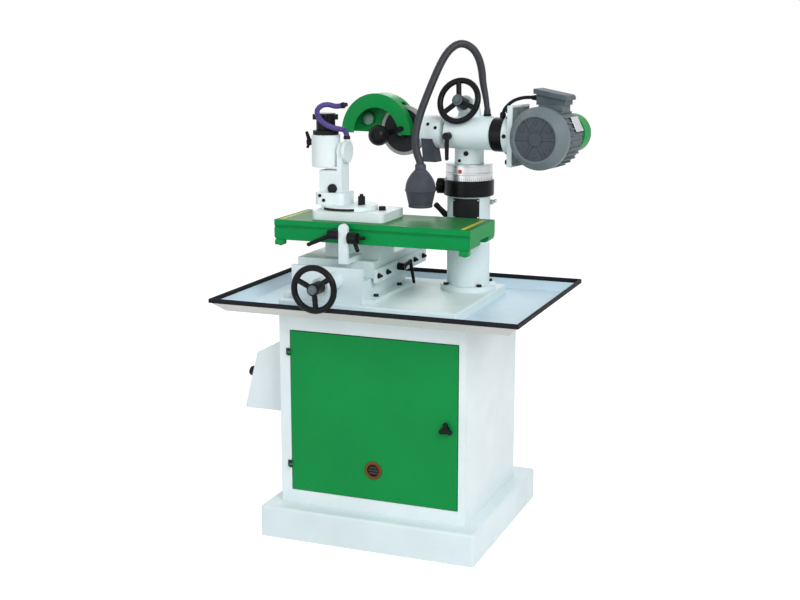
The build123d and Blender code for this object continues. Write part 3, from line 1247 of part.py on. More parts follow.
def motor_arm():
    """The white flange on the quill with the plate that the motor's foot is bolted to."""
    left = BARREL_RIGHT + END_GAP + TILT_RING_L
    half = MOTOR_PLATE_H / 2
    arm = rod_x(ARM_FLANGE_D, left, QUILL_RIGHT, BARREL_Y, AXIS_Z)
    arm += block(QUILL_RIGHT, MOTOR_FOOT_X, MOTOR_PLATE_FRONT, MOTOR_PLATE_BACK, AXIS_Z - half, AXIS_Z + half)
    return HEAD * (arm - rod_x(QUILL_D + 2 * SEAT_FIT, left - 1, QUILL_RIGHT, BARREL_Y, AXIS_Z))


def motor_body():
    """A finned motor frame with its foot, open at the front for the end cover."""
    body = rod_y(MOTOR_D, MOTOR_FRONT, MOTOR_BACK, MOTOR_X, AXIS_Z)
    for fin in range(MOTOR_FINS):
        a = 360 / MOTOR_FINS * (fin + 0.5)
        r = MOTOR_D / 2
        half = MOTOR_FIN_T / 2
        rib = block(r - 4, r + MOTOR_FIN, MOTOR_FRONT + 12, MOTOR_BACK - 4, -half, half)
        body += Pos(MOTOR_X, 0, AXIS_Z) * Rot(0, a, 0) * rib
    foot = MOTOR_FOOT_H / 2
    web = MOTOR_WEB_H / 2
    front = MOTOR_PLATE_FRONT + 5
    back = MOTOR_BACK - 4
    body += block(MOTOR_FOOT_X, MOTOR_FOOT_X + MOTOR_FOOT_T, front, back, AXIS_Z - foot, AXIS_Z + foot)
    body += block(MOTOR_FOOT_X, MOTOR_X - MOTOR_D / 4, front, back, AXIS_Z - web, AXIS_Z + web)
    body += rod_y(MOTOR_REAR_D, MOTOR_BACK - 1, SPINDLE_HOUSING_BACK, MOTOR_X, AXIS_Z)
    bell_back = (MOTOR_X, MOTOR_BACK + MOTOR_REAR_TAPER, AXIS_Z)
    body += between(MOTOR_D - 10, MOTOR_REAR_D, (MOTOR_X, MOTOR_BACK, AXIS_Z), bell_back)
    x0 = TERMINAL_LEFT + TERMINAL_LID_OUT
    x1 = TERMINAL_LEFT + TERMINAL_W - TERMINAL_LID_OUT
    pad_d = TERMINAL_D / 2 - TERMINAL_LID_OUT
    body += block(x0, x1, TERMINAL_Y - pad_d, TERMINAL_Y + pad_d, AXIS_Z, TERMINAL_Z)
    body -= rod_y(MOTOR_BORE, MOTOR_FRONT - 1, MOTOR_BACK - 6, MOTOR_X, AXIS_Z)
    bore = rod_y(MOTOR_SHAFT_D + 2 * RUN_FIT, MOTOR_FRONT, SPINDLE_HOUSING_BACK + 1, MOTOR_X, AXIS_Z)
    return HEAD * (body - bore)


def motor_end_cover():
    """The dished front end shield with its bearing hub, ribs and recess."""
    r = MOTOR_D / 2 + MOTOR_FIN
    face = MOTOR_END_FACE_D / 2
    length = MOTOR_END_L
    profile = polygon([(0, 0), (r, 0), (r, length * 0.4), (face + 4, length), (0, length)])
    cover = revolve(Plane.XZ * profile, Axis.Z)
    cover -= rod_z(2 * face, length - 5, length + 1)
    cover += rod_z(MOTOR_HUB_D, length - 6, length - 1)
    for rib in range(6):
        cover += Rot(0, 0, 60 * rib) * block(10, face + 1, -2.5, 2.5, length - 6, length - 2)
        a = radians(60 * rib + 30)
        cover += rod_z(9, length - 6, length - 2, 42 * cos(a), 42 * sin(a))
    cover -= rod_z(MOTOR_BORE, -1, length * 0.35)
    cover -= rod_z(MOTOR_SHAFT_D + 2 * RUN_FIT, -1, length - 10)
    plane = Plane(origin=(MOTOR_X, MOTOR_FRONT, AXIS_Z), x_dir=(1, 0, 0), z_dir=(0, -1, 0))
    return HEAD * (plane.location * cover)


def motor_rotor():
    """The rotor on its shaft, with the drive pulley at the rear."""
    shaft = rod_y(MOTOR_SHAFT_D, MOTOR_END_FRONT + 12, BELT_GUARD_BACK - 6, MOTOR_X, AXIS_Z)
    shaft += rod_y(ROTOR_D, MOTOR_FRONT + 10, MOTOR_BACK - 20, MOTOR_X, AXIS_Z)
    half = PULLEY_W / 2
    shaft += rod_y(MOTOR_PULLEY_D, PULLEY_Y - half, PULLEY_Y + half, MOTOR_X, AXIS_Z)
    return HEAD * shaft


def terminal_box():
    """A box on top of the motor with a lid that stands out all round and slopes to the right."""
    x0 = TERMINAL_LEFT
    x1 = TERMINAL_LEFT + TERMINAL_W
    out = TERMINAL_LID_OUT
    depth = TERMINAL_D / 2

    def lid_top(x):
        return TERMINAL_Z + TERMINAL_H - (x - x0 + out) * tan(radians(TERMINAL_SLOPE))

    def lid_low(x):
        return lid_top(x) - TERMINAL_LID_T

    body = polygon([(x0, TERMINAL_Z), (x1, TERMINAL_Z), (x1, lid_low(x1) + 1), (x0, lid_low(x0) + 1)])
    box = prism_y(body, TERMINAL_Y - depth + out, TERMINAL_Y + depth - out)
    left = x0 - out
    right = x1 + out
    under = [(left, lid_low(left)), (right, lid_low(right))]
    lid = polygon(under + [(right, lid_top(right)), (left, lid_top(left))])
    lid = fillet(lid.vertices().group_by(Axis.X)[-1].sort_by(Axis.Y)[-1], TERMINAL_LID_T * 0.7)
    return HEAD * (box + prism_y(lid, TERMINAL_Y - depth, TERMINAL_Y + depth))


def motor_lead():
    return HEAD * bent_tube(LEAD_D, LEAD_ROUTE)


def belt_outline(grow):
    """The outline round both pulleys, moved out by grow, as a sketch in (x, z)."""
    r1 = MOTOR_PULLEY_D / 2 + grow
    r2 = SPINDLE_PULLEY_D / 2 + grow
    span = MOTOR_X - SPINDLE_X
    lean = (r1 - r2) / span
    side = sqrt(1 - lean ** 2)
    ends = [
        (MOTOR_X - r1 * lean, AXIS_Z + r1 * side),
        (SPINDLE_X - r2 * lean, AXIS_Z + r2 * side),
        (SPINDLE_X - r2 * lean, AXIS_Z - r2 * side),
        (MOTOR_X - r1 * lean, AXIS_Z - r1 * side),
    ]
    return polygon(ends) + Pos(MOTOR_X, AXIS_Z) * Circle(r1) + Pos(SPINDLE_X, AXIS_Z) * Circle(r2)


def drive_belt():
    half = BELT_W / 2
    ring = belt_outline(SEAT_FIT + BELT_T) - belt_outline(SEAT_FIT)
    return HEAD * prism_y(ring, PULLEY_Y - half, PULLEY_Y + half)


def belt_guard():
    """A closed guard over the belt, its front plate seated on the spindle housing and the motor."""
    front = SPINDLE_HOUSING_BACK
    room = BELT_T + BELT_GUARD_ROOM
    drum = BELT_GUARD_DRUM_D / 2
    place = Pos(MOTOR_X, AXIS_Z)
    outer = belt_outline(room + GUARD_PLATE_T) + place * Circle(drum)
    inner = belt_outline(room) + place * Circle(drum - GUARD_PLATE_T)
    guard = prism_y(outer, front, BELT_GUARD_BACK)
    guard -= prism_y(inner, front + GUARD_PLATE_T, BELT_GUARD_BACK - GUARD_PLATE_T)
    for x, d in ((SPINDLE_X, SPINDLE_D), (MOTOR_X, MOTOR_SHAFT_D)):
        guard -= rod_y(d + 6, front - 1, front + GUARD_PLATE_T + 1, x, AXIS_Z)
    return HEAD * guard


# Lamp, in the head's frame

def gooseneck():
    base = rod_z(LAMP_BASE_D, LAMP_PAD_TOP, LAMP_PAD_TOP + LAMP_BASE_H, LAMP_PAD_X, LAMP_PAD_Y)
    return HEAD * (bent_tube(GOOSENECK_D, GOOSENECK_ROUTE) + base)


def lamp_shade():
    """A bell-shaped shade, open below, hanging from the gooseneck's end."""
    neck = LAMP_NECK_D / 2
    wide = LAMP_WIDE_D / 2
    mouth = LAMP_MOUTH_D / 2
    t = LAMP_WALL

    def bell(inset, top):
        belly = (wide - inset, -0.55 * LAMP_L)
        dome = Spline((neck - inset, top), belly, tangents=[(0.9, -1), (0, -1)])
        edge = dome + Polyline(belly, (mouth - inset, -LAMP_L), (0, -LAMP_L), (0, top), (neck - inset, top))
        return revolve(Plane.XZ * make_face(edge), Axis.Z)

    shade = bell(0, 0) - bell(t, -3 * t)
    return HEAD * (Pos(*LAMP_AXIS) * shade)


PIECES = {
    "plinth": plinth,
    "cabinet_shell": cabinet_shell,
    "cabinet_front_frame": cabinet_front_frame,
    "door_hinges": door_hinges,
    "door_panel": door_panel,
    "latch_knob": latch_knob,
    "chip_tray": chip_tray,
    "base_plate": base_plate,
    "mounting_bolts": mounting_bolts,
    "switch_box": switch_box,
    "switch_box_cover": switch_box_cover,
    "start_button": lambda: button(0),
    "stop_button": lambda: button(1),
    "slide_base": slide_base,
    "feed_screw": feed_screw,
    "cross_handwheel": cross_handwheel,
    "saddle": saddle,
    "gib_strip": gib_strip,
    "saddle_lock_lever": saddle_lock_lever,
    "stop_bracket": stop_bracket,
    "table_lock_lever": table_lock_lever,
    "stop_lever": stop_lever,
    "table": table,
    "fixture_base": fixture_base,
    "clamp_bolt": clamp_bolt,
    "turntable": turntable,
    "work_post": work_post,
    "work_head": work_head,
    "arbor": arbor,
    "arbor_knob": arbor_knob,
    "index_lever": index_lever,
    "coolant_hose": coolant_hose,
    "column": column,
    "clamp_collar": clamp_collar,
    "swivel_clamp_knob": swivel_clamp_knob,
    "swivel_sleeve": swivel_sleeve,
    "lift_post": lift_post,
    "lift_screw": lift_screw,
    "head_casting": head_casting,
    "lift_handwheel": lift_handwheel,
    "tilt_lock_lever": tilt_lock_lever,
    "spindle_block": spindle_block,
    "spindle": spindle,
    "grinding_wheel": grinding_wheel,
    "wheel_nut": wheel_nut,
    "wheel_guard": wheel_guard,
    "guard_handle": guard_handle,
    "dust_chute": dust_chute,
    "tilt_quill": tilt_quill,
    "tilt_ring": tilt_ring,
    "motor_arm": motor_arm,
    "motor_body": motor_body,
    "motor_end_cover": motor_end_cover,
    "motor_rotor": motor_rotor,
    "terminal_box": terminal_box,
    "motor_lead": motor_lead,
    "drive_belt": drive_belt,
    "belt_guard": belt_guard,
    "gooseneck": gooseneck,
    "lamp_shade": lamp_shade,
}

os.makedirs("parts", exist_ok=True)
for name, make in PIECES.items():
    export_step(make(), f"parts/{name}.step")
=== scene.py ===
from math import cos, pi, radians, sin

import bmesh
import bpy
from mathutils import Matrix, Vector

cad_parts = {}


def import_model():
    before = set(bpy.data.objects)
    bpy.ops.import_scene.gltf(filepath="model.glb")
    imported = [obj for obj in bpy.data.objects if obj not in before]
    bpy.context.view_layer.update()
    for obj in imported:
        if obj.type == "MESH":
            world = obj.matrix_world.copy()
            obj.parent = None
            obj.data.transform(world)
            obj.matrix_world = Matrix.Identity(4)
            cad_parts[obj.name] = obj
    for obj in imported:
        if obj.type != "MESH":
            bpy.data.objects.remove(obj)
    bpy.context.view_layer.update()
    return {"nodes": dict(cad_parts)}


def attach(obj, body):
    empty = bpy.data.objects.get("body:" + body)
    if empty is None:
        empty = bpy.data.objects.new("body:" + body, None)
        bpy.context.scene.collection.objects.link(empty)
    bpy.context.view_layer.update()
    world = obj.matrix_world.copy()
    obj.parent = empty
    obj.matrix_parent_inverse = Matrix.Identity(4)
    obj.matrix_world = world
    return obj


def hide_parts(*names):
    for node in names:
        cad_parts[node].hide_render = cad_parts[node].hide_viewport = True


# Looks of the circular saw blade sharpener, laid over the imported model.
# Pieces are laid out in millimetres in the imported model's frame, and are scaled when they are made.
# Sizes in materials, lights and the camera are in metres.

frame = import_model()

MM = 0.001

UP, DOWN = (0, 0, 1), (0, 0, -1)
RIGHT, LEFT = (1, 0, 0), (-1, 0, 0)
BACK, FRONT = (0, 1, 0), (0, -1, 0)

# The grinding head's frame stands on the column's axis and is swivelled about it.
COLUMN_X = 151.0
COLUMN_Y = 100.0
COLUMN_R = 58.0
RING_R = 62.5
HEAD_SWIVEL = -8
COLUMN = Matrix.Translation((COLUMN_X, COLUMN_Y, 0))
HEAD = COLUMN @ Matrix.Rotation(radians(HEAD_SWIVEL), 4, "Z")

# The drive, in the head's frame. Its axes are all at one height.
AXIS_Z = 1064.0
BARREL_Y = -36.0
MOTOR_X = 248.0
SPINDLE_X = -181.0
WHEEL_Y = -34.0
DRIVE_AXIS = HEAD.to_3x3() @ Vector(BACK)

# Routes of the bent tubes. The gooseneck and the lead are in the head's frame.
LAMP_TOP = (-72, -140, 975)
GOOSENECK_FOOT = (42, 20, 1106)
GOOSENECK_ROUTE = [
    (42, 20, 1107), (42, 20, 1124), (34, 24, 1160), (24, 28, 1192), (21, 28, 1224), (16, 19, 1258),
    (2, 6, 1286), (-22, -14, 1298), (-42, -36, 1282), (-57, -57, 1248), (-75, -82, 1184), (-92, -110, 1112),
    (-96, -129, 1056), (-84, -140, 1014), (-72, -140, 992), LAMP_TOP,
]
LEAD_ROUTE = [
    (222, -45, 1162), (198, -45, 1163), (170, -44, 1161), (143, -40, 1152), (124, -37, 1137),
    (116, -36, 1126), (114, -36, 1115),
]
HOSE_ROUTE = [
    (-126.7, -80, 1051), (-126.7, -80, 1074), (-140, -108, 1079), (-158, -124, 1086), (-174, -130, 1097),
    (-187, -128, 1110), (-196, -117, 1126), (-191, -96, 1138), (-177, -82, 1140), (-157, -76, 1133),
    (-138, -72, 1138),
]


# Materials

def srgb(red, green, blue):
    """A picture colour, 0 to 255, as a linear shader colour."""
    def linear(value):
        value /= 255
        return value / 12.92 if value <= 0.04045 else ((value + 0.055) / 1.055) ** 2.4
    return (linear(red), linear(green), linear(blue), 1.0)


def scaled(colour, factor):
    """A lighter or darker colour."""
    return tuple(min(1.0, channel * factor) for channel in colour[:3]) + (1.0,)


class Shader:
    """A material with a Principled shader and short ways to add nodes to it."""

    def __init__(self, name):
        self.material = bpy.data.materials.new(name)
        self.material.use_nodes = True
        tree = self.material.node_tree
        self.nodes = tree.nodes
        self.links = tree.links
        self.bsdf = self.nodes["Principled BSDF"]
        self.where = self.nodes.new("ShaderNodeTexCoord").outputs["Object"]

    def put(self, socket, value):
        """Links a socket or sets a plain value."""
        if isinstance(value, bpy.types.NodeSocket):
            self.links.new(value, socket)
        else:
            socket.default_value = value

    def set(self, name, value):
        """Links or sets one of the Principled shader's own sockets."""
        self.put(self.bsdf.inputs[name], value)

    def math(self, operation, first, second):
        node = self.nodes.new("ShaderNodeMath")
        node.operation = operation
        self.put(node.inputs[0], first)
        self.put(node.inputs[1], second)
        return node.outputs["Value"]

    def vector_math(self, operation, output, *values):
        node = self.nodes.new("ShaderNodeVectorMath")
        node.operation = operation
        for socket, value in zip(node.inputs, values):
            self.put(socket, value)
        return node.outputs[output]

    def span(self, value, low, high, to_low=0.0, to_high=1.0):
        """A value mapped from one range to another, held at the ends."""
        node = self.nodes.new("ShaderNodeMapRange")
        self.put(node.inputs["Value"], value)
        node.inputs["From Min"].default_value = low
        node.inputs["From Max"].default_value = high
        node.inputs["To Min"].default_value = to_low
        node.inputs["To Max"].default_value = to_high
        return node.outputs["Result"]

    def blend(self, factor, first, second):
        """A mix of two colours."""
        node = self.nodes.new("ShaderNodeMix")
        node.data_type = "RGBA"
        self.put(node.inputs["Factor"], factor)
        self.put(node.inputs["A"], first)
        self.put(node.inputs["B"], second)
        return node.outputs["Result"]

    def stretched(self, scale):
        """The object's coordinates, stretched by a factor on each axis."""
        node = self.nodes.new("ShaderNodeMapping")
        node.inputs["Scale"].default_value = scale
        self.links.new(self.where, node.inputs["Vector"])
        return node.outputs["Vector"]

    def noise(self, scale, detail=3.0, roughness=0.55, vector=None):
        node = self.nodes.new("ShaderNodeTexNoise")
        self.links.new(vector or self.where, node.inputs["Vector"])
        node.inputs["Scale"].default_value = scale
        node.inputs["Detail"].default_value = detail
        node.inputs["Roughness"].default_value = roughness
        return node.outputs["Fac"]

    def patches(self, scale, low, high, to_low=0.0, to_high=1.0, **kind):
        """Noise with its values from low to high mapped to another range."""
        return self.span(self.noise(scale, **kind), low, high, to_low, to_high)

    def from_axis(self, centre, axis):
        """The distance of a point from an axis."""
        offset = self.vector_math("SUBTRACT", "Vector", self.where, centre)
        across = self.vector_math("CROSS_PRODUCT", "Vector", offset, axis)
        return self.vector_math("LENGTH", "Value", across)

    def face_normal(self):
        return self.nodes.new("ShaderNodeNewGeometry").outputs["Normal"]

    def upward(self, low, high):
        """0 for faces whose normal's height is below low, and 1 for those above high."""
        facing = self.nodes.new("ShaderNodeSeparateXYZ")
        self.links.new(self.face_normal(), facing.inputs[0])
        return self.span(facing.outputs["Z"], low, high)

    def soft_edges(self, radius):
        """A normal that rounds the sharp edges, and how near an edge a point is."""
        flat_cosine, edge_cosine = 0.995, 0.86
        node = self.nodes.new("ShaderNodeBevel")
        node.samples = 4
        node.inputs["Radius"].default_value = radius
        rounded = node.outputs["Normal"]
        cosine = self.vector_math("DOT_PRODUCT", "Value", rounded, self.face_normal())
        return rounded, self.span(cosine, flat_cosine, edge_cosine)

    def worn_edges(self, skin, edge, radius, wear):
        """Sets the skin's colour, with another where sharp edges are worn, and gives the rounded normal."""
        rounded, near = self.soft_edges(radius)
        self.set("Base Color", self.blend(self.math("MULTIPLY", near, wear), skin, edge))
        return rounded

    def bump(self, height, distance, strength, normal=None):
        node = self.nodes.new("ShaderNodeBump")
        node.inputs["Distance"].default_value = distance
        node.inputs["Strength"].default_value = strength
        self.links.new(height, node.inputs["Height"])
        if normal:
            self.links.new(normal, node.inputs["Normal"])
        return node.outputs["Normal"]


def paint(name, colour, rough=0.38, shine=0.35, under=None):
    """Sprayed paint: orange peel, slow changes of tone, faint handling marks and worn edges.

    A second colour, under, is painted on the faces that look down, as painted shade and reflected
    surroundings in place of the paint's own colour.
    """
    s = Shader(name)
    even = s.blend(s.patches(5.0, 0.3, 0.7), scaled(colour, 0.93), scaled(colour, 1.035))
    marks = s.patches(38.0, 0.56, 0.74, 0.0, 0.16, detail=6.0, roughness=0.7)
    skin = s.blend(marks, even, scaled(colour, 0.72))
    if under:
        # Faces that look down take the under colour: painted shade and reflection, not a second paint.
        skin = s.blend(s.upward(-0.1, 0.1), under, skin)
    wear = s.patches(85.0, 0.42, 0.62, 0.1, 0.75, detail=5.0)
    rounded = s.worn_edges(skin, scaled(colour, 0.62), 0.0015, wear)
    s.set("Roughness", s.patches(24.0, 0.3, 0.7, rough - 0.07, rough + 0.09, detail=5.0))
    s.set("Specular IOR Level", shine)
    s.set("Normal", s.bump(s.noise(250.0, detail=2.0), 0.0004, 0.5, rounded))
    return s.material


def casting(name, colour, rough=0.44):
    """Painted cast iron: coarser skin than sheet metal, with small pits."""
    s = Shader(name)
    even = s.blend(s.patches(7.0, 0.3, 0.7), scaled(colour, 0.92), scaled(colour, 1.04))
    skin = s.blend(s.patches(160.0, 0.62, 0.72, 0.0, 0.22), even, scaled(colour, 0.7))
    wear = s.patches(70.0, 0.45, 0.65, 0.05, 0.6, detail=5.0)
    rounded = s.worn_edges(skin, scaled(colour, 0.55), 0.0022, wear)
    s.set("Roughness", s.patches(30.0, 0.3, 0.7, rough - 0.08, rough + 0.1, detail=5.0))
    s.set("Specular IOR Level", 0.35)
    s.set("Normal", s.bump(s.noise(140.0, detail=4.0), 0.0012, 0.5, rounded))
    return s.material


def table_paint(name, side, top):
    """Green paint with a top that the slides and chips have worn along its length."""
    streak_green = srgb(66, 118, 66)
    cloud_green = srgb(54, 126, 80)
    s = Shader(name)
    upper = s.upward(0.85, 0.97)
    green = s.blend(s.patches(6.0, 0.3, 0.7), scaled(side, 0.93), scaled(side, 1.05))
    streaks = s.noise(30.0, detail=6.0, roughness=0.7, vector=s.stretched((0.25, 3.0, 1.0)))
    rubbed = s.blend(s.span(streaks, 0.38, 0.66, 0.0, 0.75), top, streak_green)
    surface = s.blend(s.patches(9.0, 0.4, 0.66, 0.0, 0.7, detail=4.0), rubbed, cloud_green)
    wear = s.patches(60.0, 0.45, 0.62, 0.1, 0.8, detail=5.0)
    rounded = s.worn_edges(s.blend(upper, green, surface), scaled(side, 0.6), 0.002, wear)
    rubbing = s.math("MULTIPLY", upper, s.span(streaks, 0.3, 0.7, -0.06, 0.1))
    s.set("Roughness", s.math("ADD", 0.36, rubbing))
    s.set("Specular IOR Level", 0.06)
    s.set("Normal", s.bump(s.noise(170.0), 0.0008, 0.45, rounded))
    return s.material


def metal(name, colour, rough=0.3, grain=(1.0, 1.0, 60.0)):
    """Machined metal with fine tool lines across one axis."""
    s = Shader(name)
    lines = s.noise(8.0, detail=6.0, roughness=0.75, vector=s.stretched(grain))
    bright = s.blend(s.span(lines, 0.3, 0.7), scaled(colour, 0.82), scaled(colour, 1.08))
    stain = s.patches(26.0, 0.5, 0.75, 0.0, 0.35, detail=4.0)
    s.set("Base Color", s.blend(stain, bright, scaled(colour, 0.6)))
    s.set("Metallic", 1.0)
    s.set("Roughness", s.span(lines, 0.3, 0.7, rough - 0.08, rough + 0.12))
    rounded, _ = s.soft_edges(0.0008)
    s.set("Normal", s.bump(lines, 0.0003, 0.3, rounded))
    return s.material


def plastic(name, colour, rough=0.32, skin=0.0002, skin_size=0.0015, edge=1.5, shine=0.12):
    """Moulded plastic or thick enamel: fine skin, rubbed edges and dull patches."""
    s = Shader(name)
    even = s.blend(s.patches(30.0, 0.35, 0.7, detail=5.0), colour, scaled(colour, 1.35))
    wear = s.patches(90.0, 0.4, 0.65, 0.0, 0.6, detail=4.0)
    rounded = s.worn_edges(even, scaled(colour, edge), 0.0012, wear)
    s.set("Roughness", s.patches(55.0, 0.3, 0.7, rough - 0.06, rough + 0.12, detail=5.0))
    s.set("Specular IOR Level", shine)
    s.set("Normal", s.bump(s.noise(1 / skin_size, detail=2.0), skin, 0.5, rounded))
    return s.material


def abrasive(name, centre, axis, rim_start):
    """A grinding wheel: dark pressed body with a paler gritty rim, by the distance from its axis."""
    soft = 0.0004
    s = Shader(name)
    rim = s.span(s.from_axis(centre, axis), rim_start - soft, rim_start + soft)
    grit = s.noise(900.0, detail=2.0)
    dark = s.blend(s.patches(60.0, 0.3, 0.7), srgb(22, 23, 25), srgb(40, 41, 44))
    pale = s.blend(s.span(grit, 0.35, 0.65), srgb(138, 140, 140), srgb(196, 197, 194))
    s.set("Base Color", s.blend(rim, dark, pale))
    s.set("Roughness", s.span(rim, 0.0, 1.0, 0.5, 0.85))
    s.set("Specular IOR Level", 0.2)
    s.set("Normal", s.bump(grit, 0.0006, 0.6))
    return s.material


def cover_with_painted_shade(name, rim, inner, centre, axis, shaded_radius):
    """An end cover whose recessed middle gets a darker colour than its rim: the dark middle is painted shade
    in the recess.
    """
    soft = 0.001
    s = Shader(name)
    # The inner colour, inside the given radius of the axis, is painted shade where the cover is recessed.
    out = s.span(s.from_axis(centre, axis), shaded_radius - soft, shaded_radius + soft)
    even = s.blend(out, inner, rim)
    dull = s.blend(out, scaled(inner, 1.3), scaled(rim, 1.15))
    skin = s.blend(s.patches(30.0, 0.35, 0.7, 0.0, 0.5, detail=5.0), even, dull)
    wear = s.patches(90.0, 0.4, 0.65, 0.0, 0.5, detail=4.0)
    rounded = s.worn_edges(skin, scaled(rim, 1.3), 0.0015, wear)
    s.set("Roughness", s.patches(55.0, 0.3, 0.7, 0.34, 0.5, detail=5.0))
    s.set("Specular IOR Level", 0.25)
    s.set("Normal", s.bump(s.noise(330.0, detail=2.0), 0.0006, 0.5, rounded))
    return s.material


def mm(point):
    """A point in millimetres, in metres."""
    return Vector(point) * MM


looks = {
    "cabinet": paint("cabinet_white", srgb(226, 238, 241)),
    "plinth": paint("plinth_white", srgb(220, 234, 238), rough=0.42),
    # The tray's grey under colour is painted shade and reflection on its downward faces; its paint is the
    # blue-white.
    "tray": paint("tray_white", srgb(200, 225, 239), rough=0.4, under=srgb(214, 214, 212)),
    "casting": casting("casting_white", srgb(221, 236, 239)),
    "fixture": casting("fixture_white", srgb(226, 238, 240), rough=0.4),
    "green": paint("green_paint", srgb(10, 139, 67), rough=0.34, shine=0.12),
    "table": table_paint("table_green", srgb(12, 141, 72), srgb(34, 120, 62)),
    "black": plastic("black_plastic", srgb(17, 18, 20)),
    "enamel": plastic("black_enamel", srgb(16, 17, 19), rough=0.26),
    "oxide": plastic("black_oxide", srgb(26, 28, 30), rough=0.42),
    "slat": plastic("vent_grey", srgb(60, 54, 54), rough=0.5),
    "rubber": plastic("black_rubber", srgb(24, 26, 30), rough=0.62, skin=0.0005, skin_size=0.002),
    "steel": metal("turned_steel", srgb(206, 210, 212)),
    "bar": metal("bright_bar", srgb(196, 199, 201), grain=(60.0, 1.0, 1.0)),
    "motor": plastic("motor_grey", srgb(88, 99, 103), rough=0.4, skin=0.0006, skin_size=0.003, edge=1.25),
    "terminal": plastic("terminal_grey", srgb(72, 83, 90), rough=0.36, edge=1.3),
    "lamp": plastic("lamp_grey", srgb(66, 69, 78), rough=0.44, skin=0.0005, skin_size=0.0012, edge=1.2),
    "sleeve": plastic("gooseneck_sleeve", srgb(46, 48, 53), rough=0.36, edge=1.1, shine=0.25),
    "purple": plastic("hose_purple", srgb(76, 64, 122), rough=0.3, edge=1.1),
    # The port cap's pale green is painted light: it stands in for the bright spot inside the shaded wheel
    # guard.
    "cap": paint("port_cap_painted_light", srgb(118, 156, 138), rough=0.3),
    "copper": metal("copper_ring", srgb(104, 70, 40), rough=0.42, grain=(1.0, 40.0, 1.0)),
    "yellow": paint("yellow_mark", srgb(190, 190, 66), rough=0.5, shine=0.12),
    "red": plastic("red_mark", srgb(196, 62, 52), edge=1.1),
    "go": plastic("start_green", srgb(36, 150, 70), rough=0.28, edge=1.15),
    "halt": plastic("stop_red", srgb(190, 32, 30), rough=0.28, edge=1.15),
    "bulb": plastic("bulb_glass", srgb(236, 238, 234), rough=0.2, edge=1.0),
    "plate": metal("bare_plate", srgb(214, 214, 220), rough=0.36, grain=(40.0, 1.0, 1.0)),
    "abrasive": abrasive("abrasive_wheel", mm(HEAD @ Vector((SPINDLE_X, WHEEL_Y, AXIS_Z))), DRIVE_AXIS,
                         rim_start=0.0585),
    # The motor end cover's darker inner colour is painted shade in its recess; the rim colour is its grey
    # paint.
    "cover": cover_with_painted_shade("motor_cover_painted_shade", srgb(100, 112, 116), srgb(58, 67, 73),
                        mm(HEAD @ Vector((MOTOR_X, 0, AXIS_Z))), DRIVE_AXIS, shaded_radius=0.055),
}


# Finishes of the CAD nodes

NODE_LOOKS = {
    "plinth": ["plinth"],
    "cabinet": ["cabinet_shell", "cabinet_front_frame", "switch_box", "switch_box_cover"],
    "tray": ["chip_tray"],
    "casting": ["base_plate", "slide_base", "saddle", "gib_strip", "stop_bracket", "column", "head_casting",
                "spindle_block", "motor_arm"],
    "fixture": ["fixture_base", "turntable", "work_post", "work_head"],
    "green": ["door_panel", "wheel_guard", "belt_guard"],
    "table": ["table"],
    "black": ["latch_knob", "saddle_lock_lever", "table_lock_lever", "stop_lever", "arbor_knob",
              "index_lever", "swivel_clamp_knob", "tilt_lock_lever", "guard_handle"],
    "enamel": ["cross_handwheel", "lift_handwheel", "clamp_collar", "tilt_ring"],
    "oxide": ["door_hinges", "mounting_bolts", "clamp_bolt", "arbor", "wheel_nut"],
    "steel": ["swivel_sleeve", "lift_post", "lift_screw"],
    "bar": ["feed_screw", "spindle", "tilt_quill", "motor_rotor"],
    "motor": ["motor_body"],
    "terminal": ["terminal_box"],
    "cover": ["motor_end_cover"],
    "abrasive": ["grinding_wheel"],
    "lamp": ["lamp_shade", "dust_chute"],
    "sleeve": ["gooseneck"],
    "rubber": ["drive_belt", "motor_lead"],
    "purple": ["coolant_hose"],
    "go": ["start_button"],
    "halt": ["stop_button"],
}

for look, nodes in NODE_LOOKS.items():
    for node in nodes:
        mesh = frame["nodes"][node].data
        mesh.materials.clear()
        mesh.materials.append(looks[look])


# Ways to make a piece

def moved(x, y, z):
    return Matrix.Translation((x, y, z))


def turned(degrees, axis):
    return Matrix.Rotation(radians(degrees), 4, axis)


def place(origin, axis=UP):
    """A frame at a point with its Z along an axis."""
    z = Vector(axis).normalized()
    guess = Vector(RIGHT) if abs(z.x) < 0.9 else Vector(BACK)
    y = z.cross(guess).normalized()
    x = y.cross(z)
    turn = Matrix((x, y, z)).transposed().to_4x4()
    return Matrix.Translation(origin) @ turn


def join_rings(bm, rings):
    """Faces between neighbouring rings of points. A ring of one point is a tip."""
    for low, high in zip(rings, rings[1:]):
        count = max(len(low), len(high))
        if count == 1:
            continue
        for k in range(count):
            n = (k + 1) % count
            if len(low) == 1:
                corners = (low[0], high[n], high[k])
            elif len(high) == 1:
                corners = (low[k], low[n], high[0])
            else:
                corners = (low[k], low[n], high[n], high[k])
            bm.faces.new(corners)


def lathe(bm, at, profile, segments=40):
    """Turns (radius, height) points about Z. A third number gives that ring so many flat sides."""
    rings = []
    for radius, height, *sides in profile:
        if radius == 0:
            rings.append([bm.verts.new(at @ Vector((0, 0, height)))])
            continue
        ring = []
        for k in range(segments):
            a = 2 * pi * k / segments
            r = radius
            if sides:
                part = 2 * pi / sides[0]
                r = radius / cos((a % part) - part / 2)
            ring.append(bm.verts.new(at @ Vector((r * cos(a), r * sin(a), height))))
        rings.append(ring)
    join_rings(bm, rings)


def slab(bm, at, size, edge, segments=3):
    """A block about the frame's origin with rounded edges."""
    made = bmesh.ops.create_cube(bm, size=1.0, matrix=at @ Matrix.Diagonal((*size, 1.0)))
    edges = list(dict.fromkeys(e for v in made["verts"] for e in v.link_edges))
    bmesh.ops.bevel(bm, geom=edges, offset=edge, segments=segments, affect="EDGES", profile=0.5)


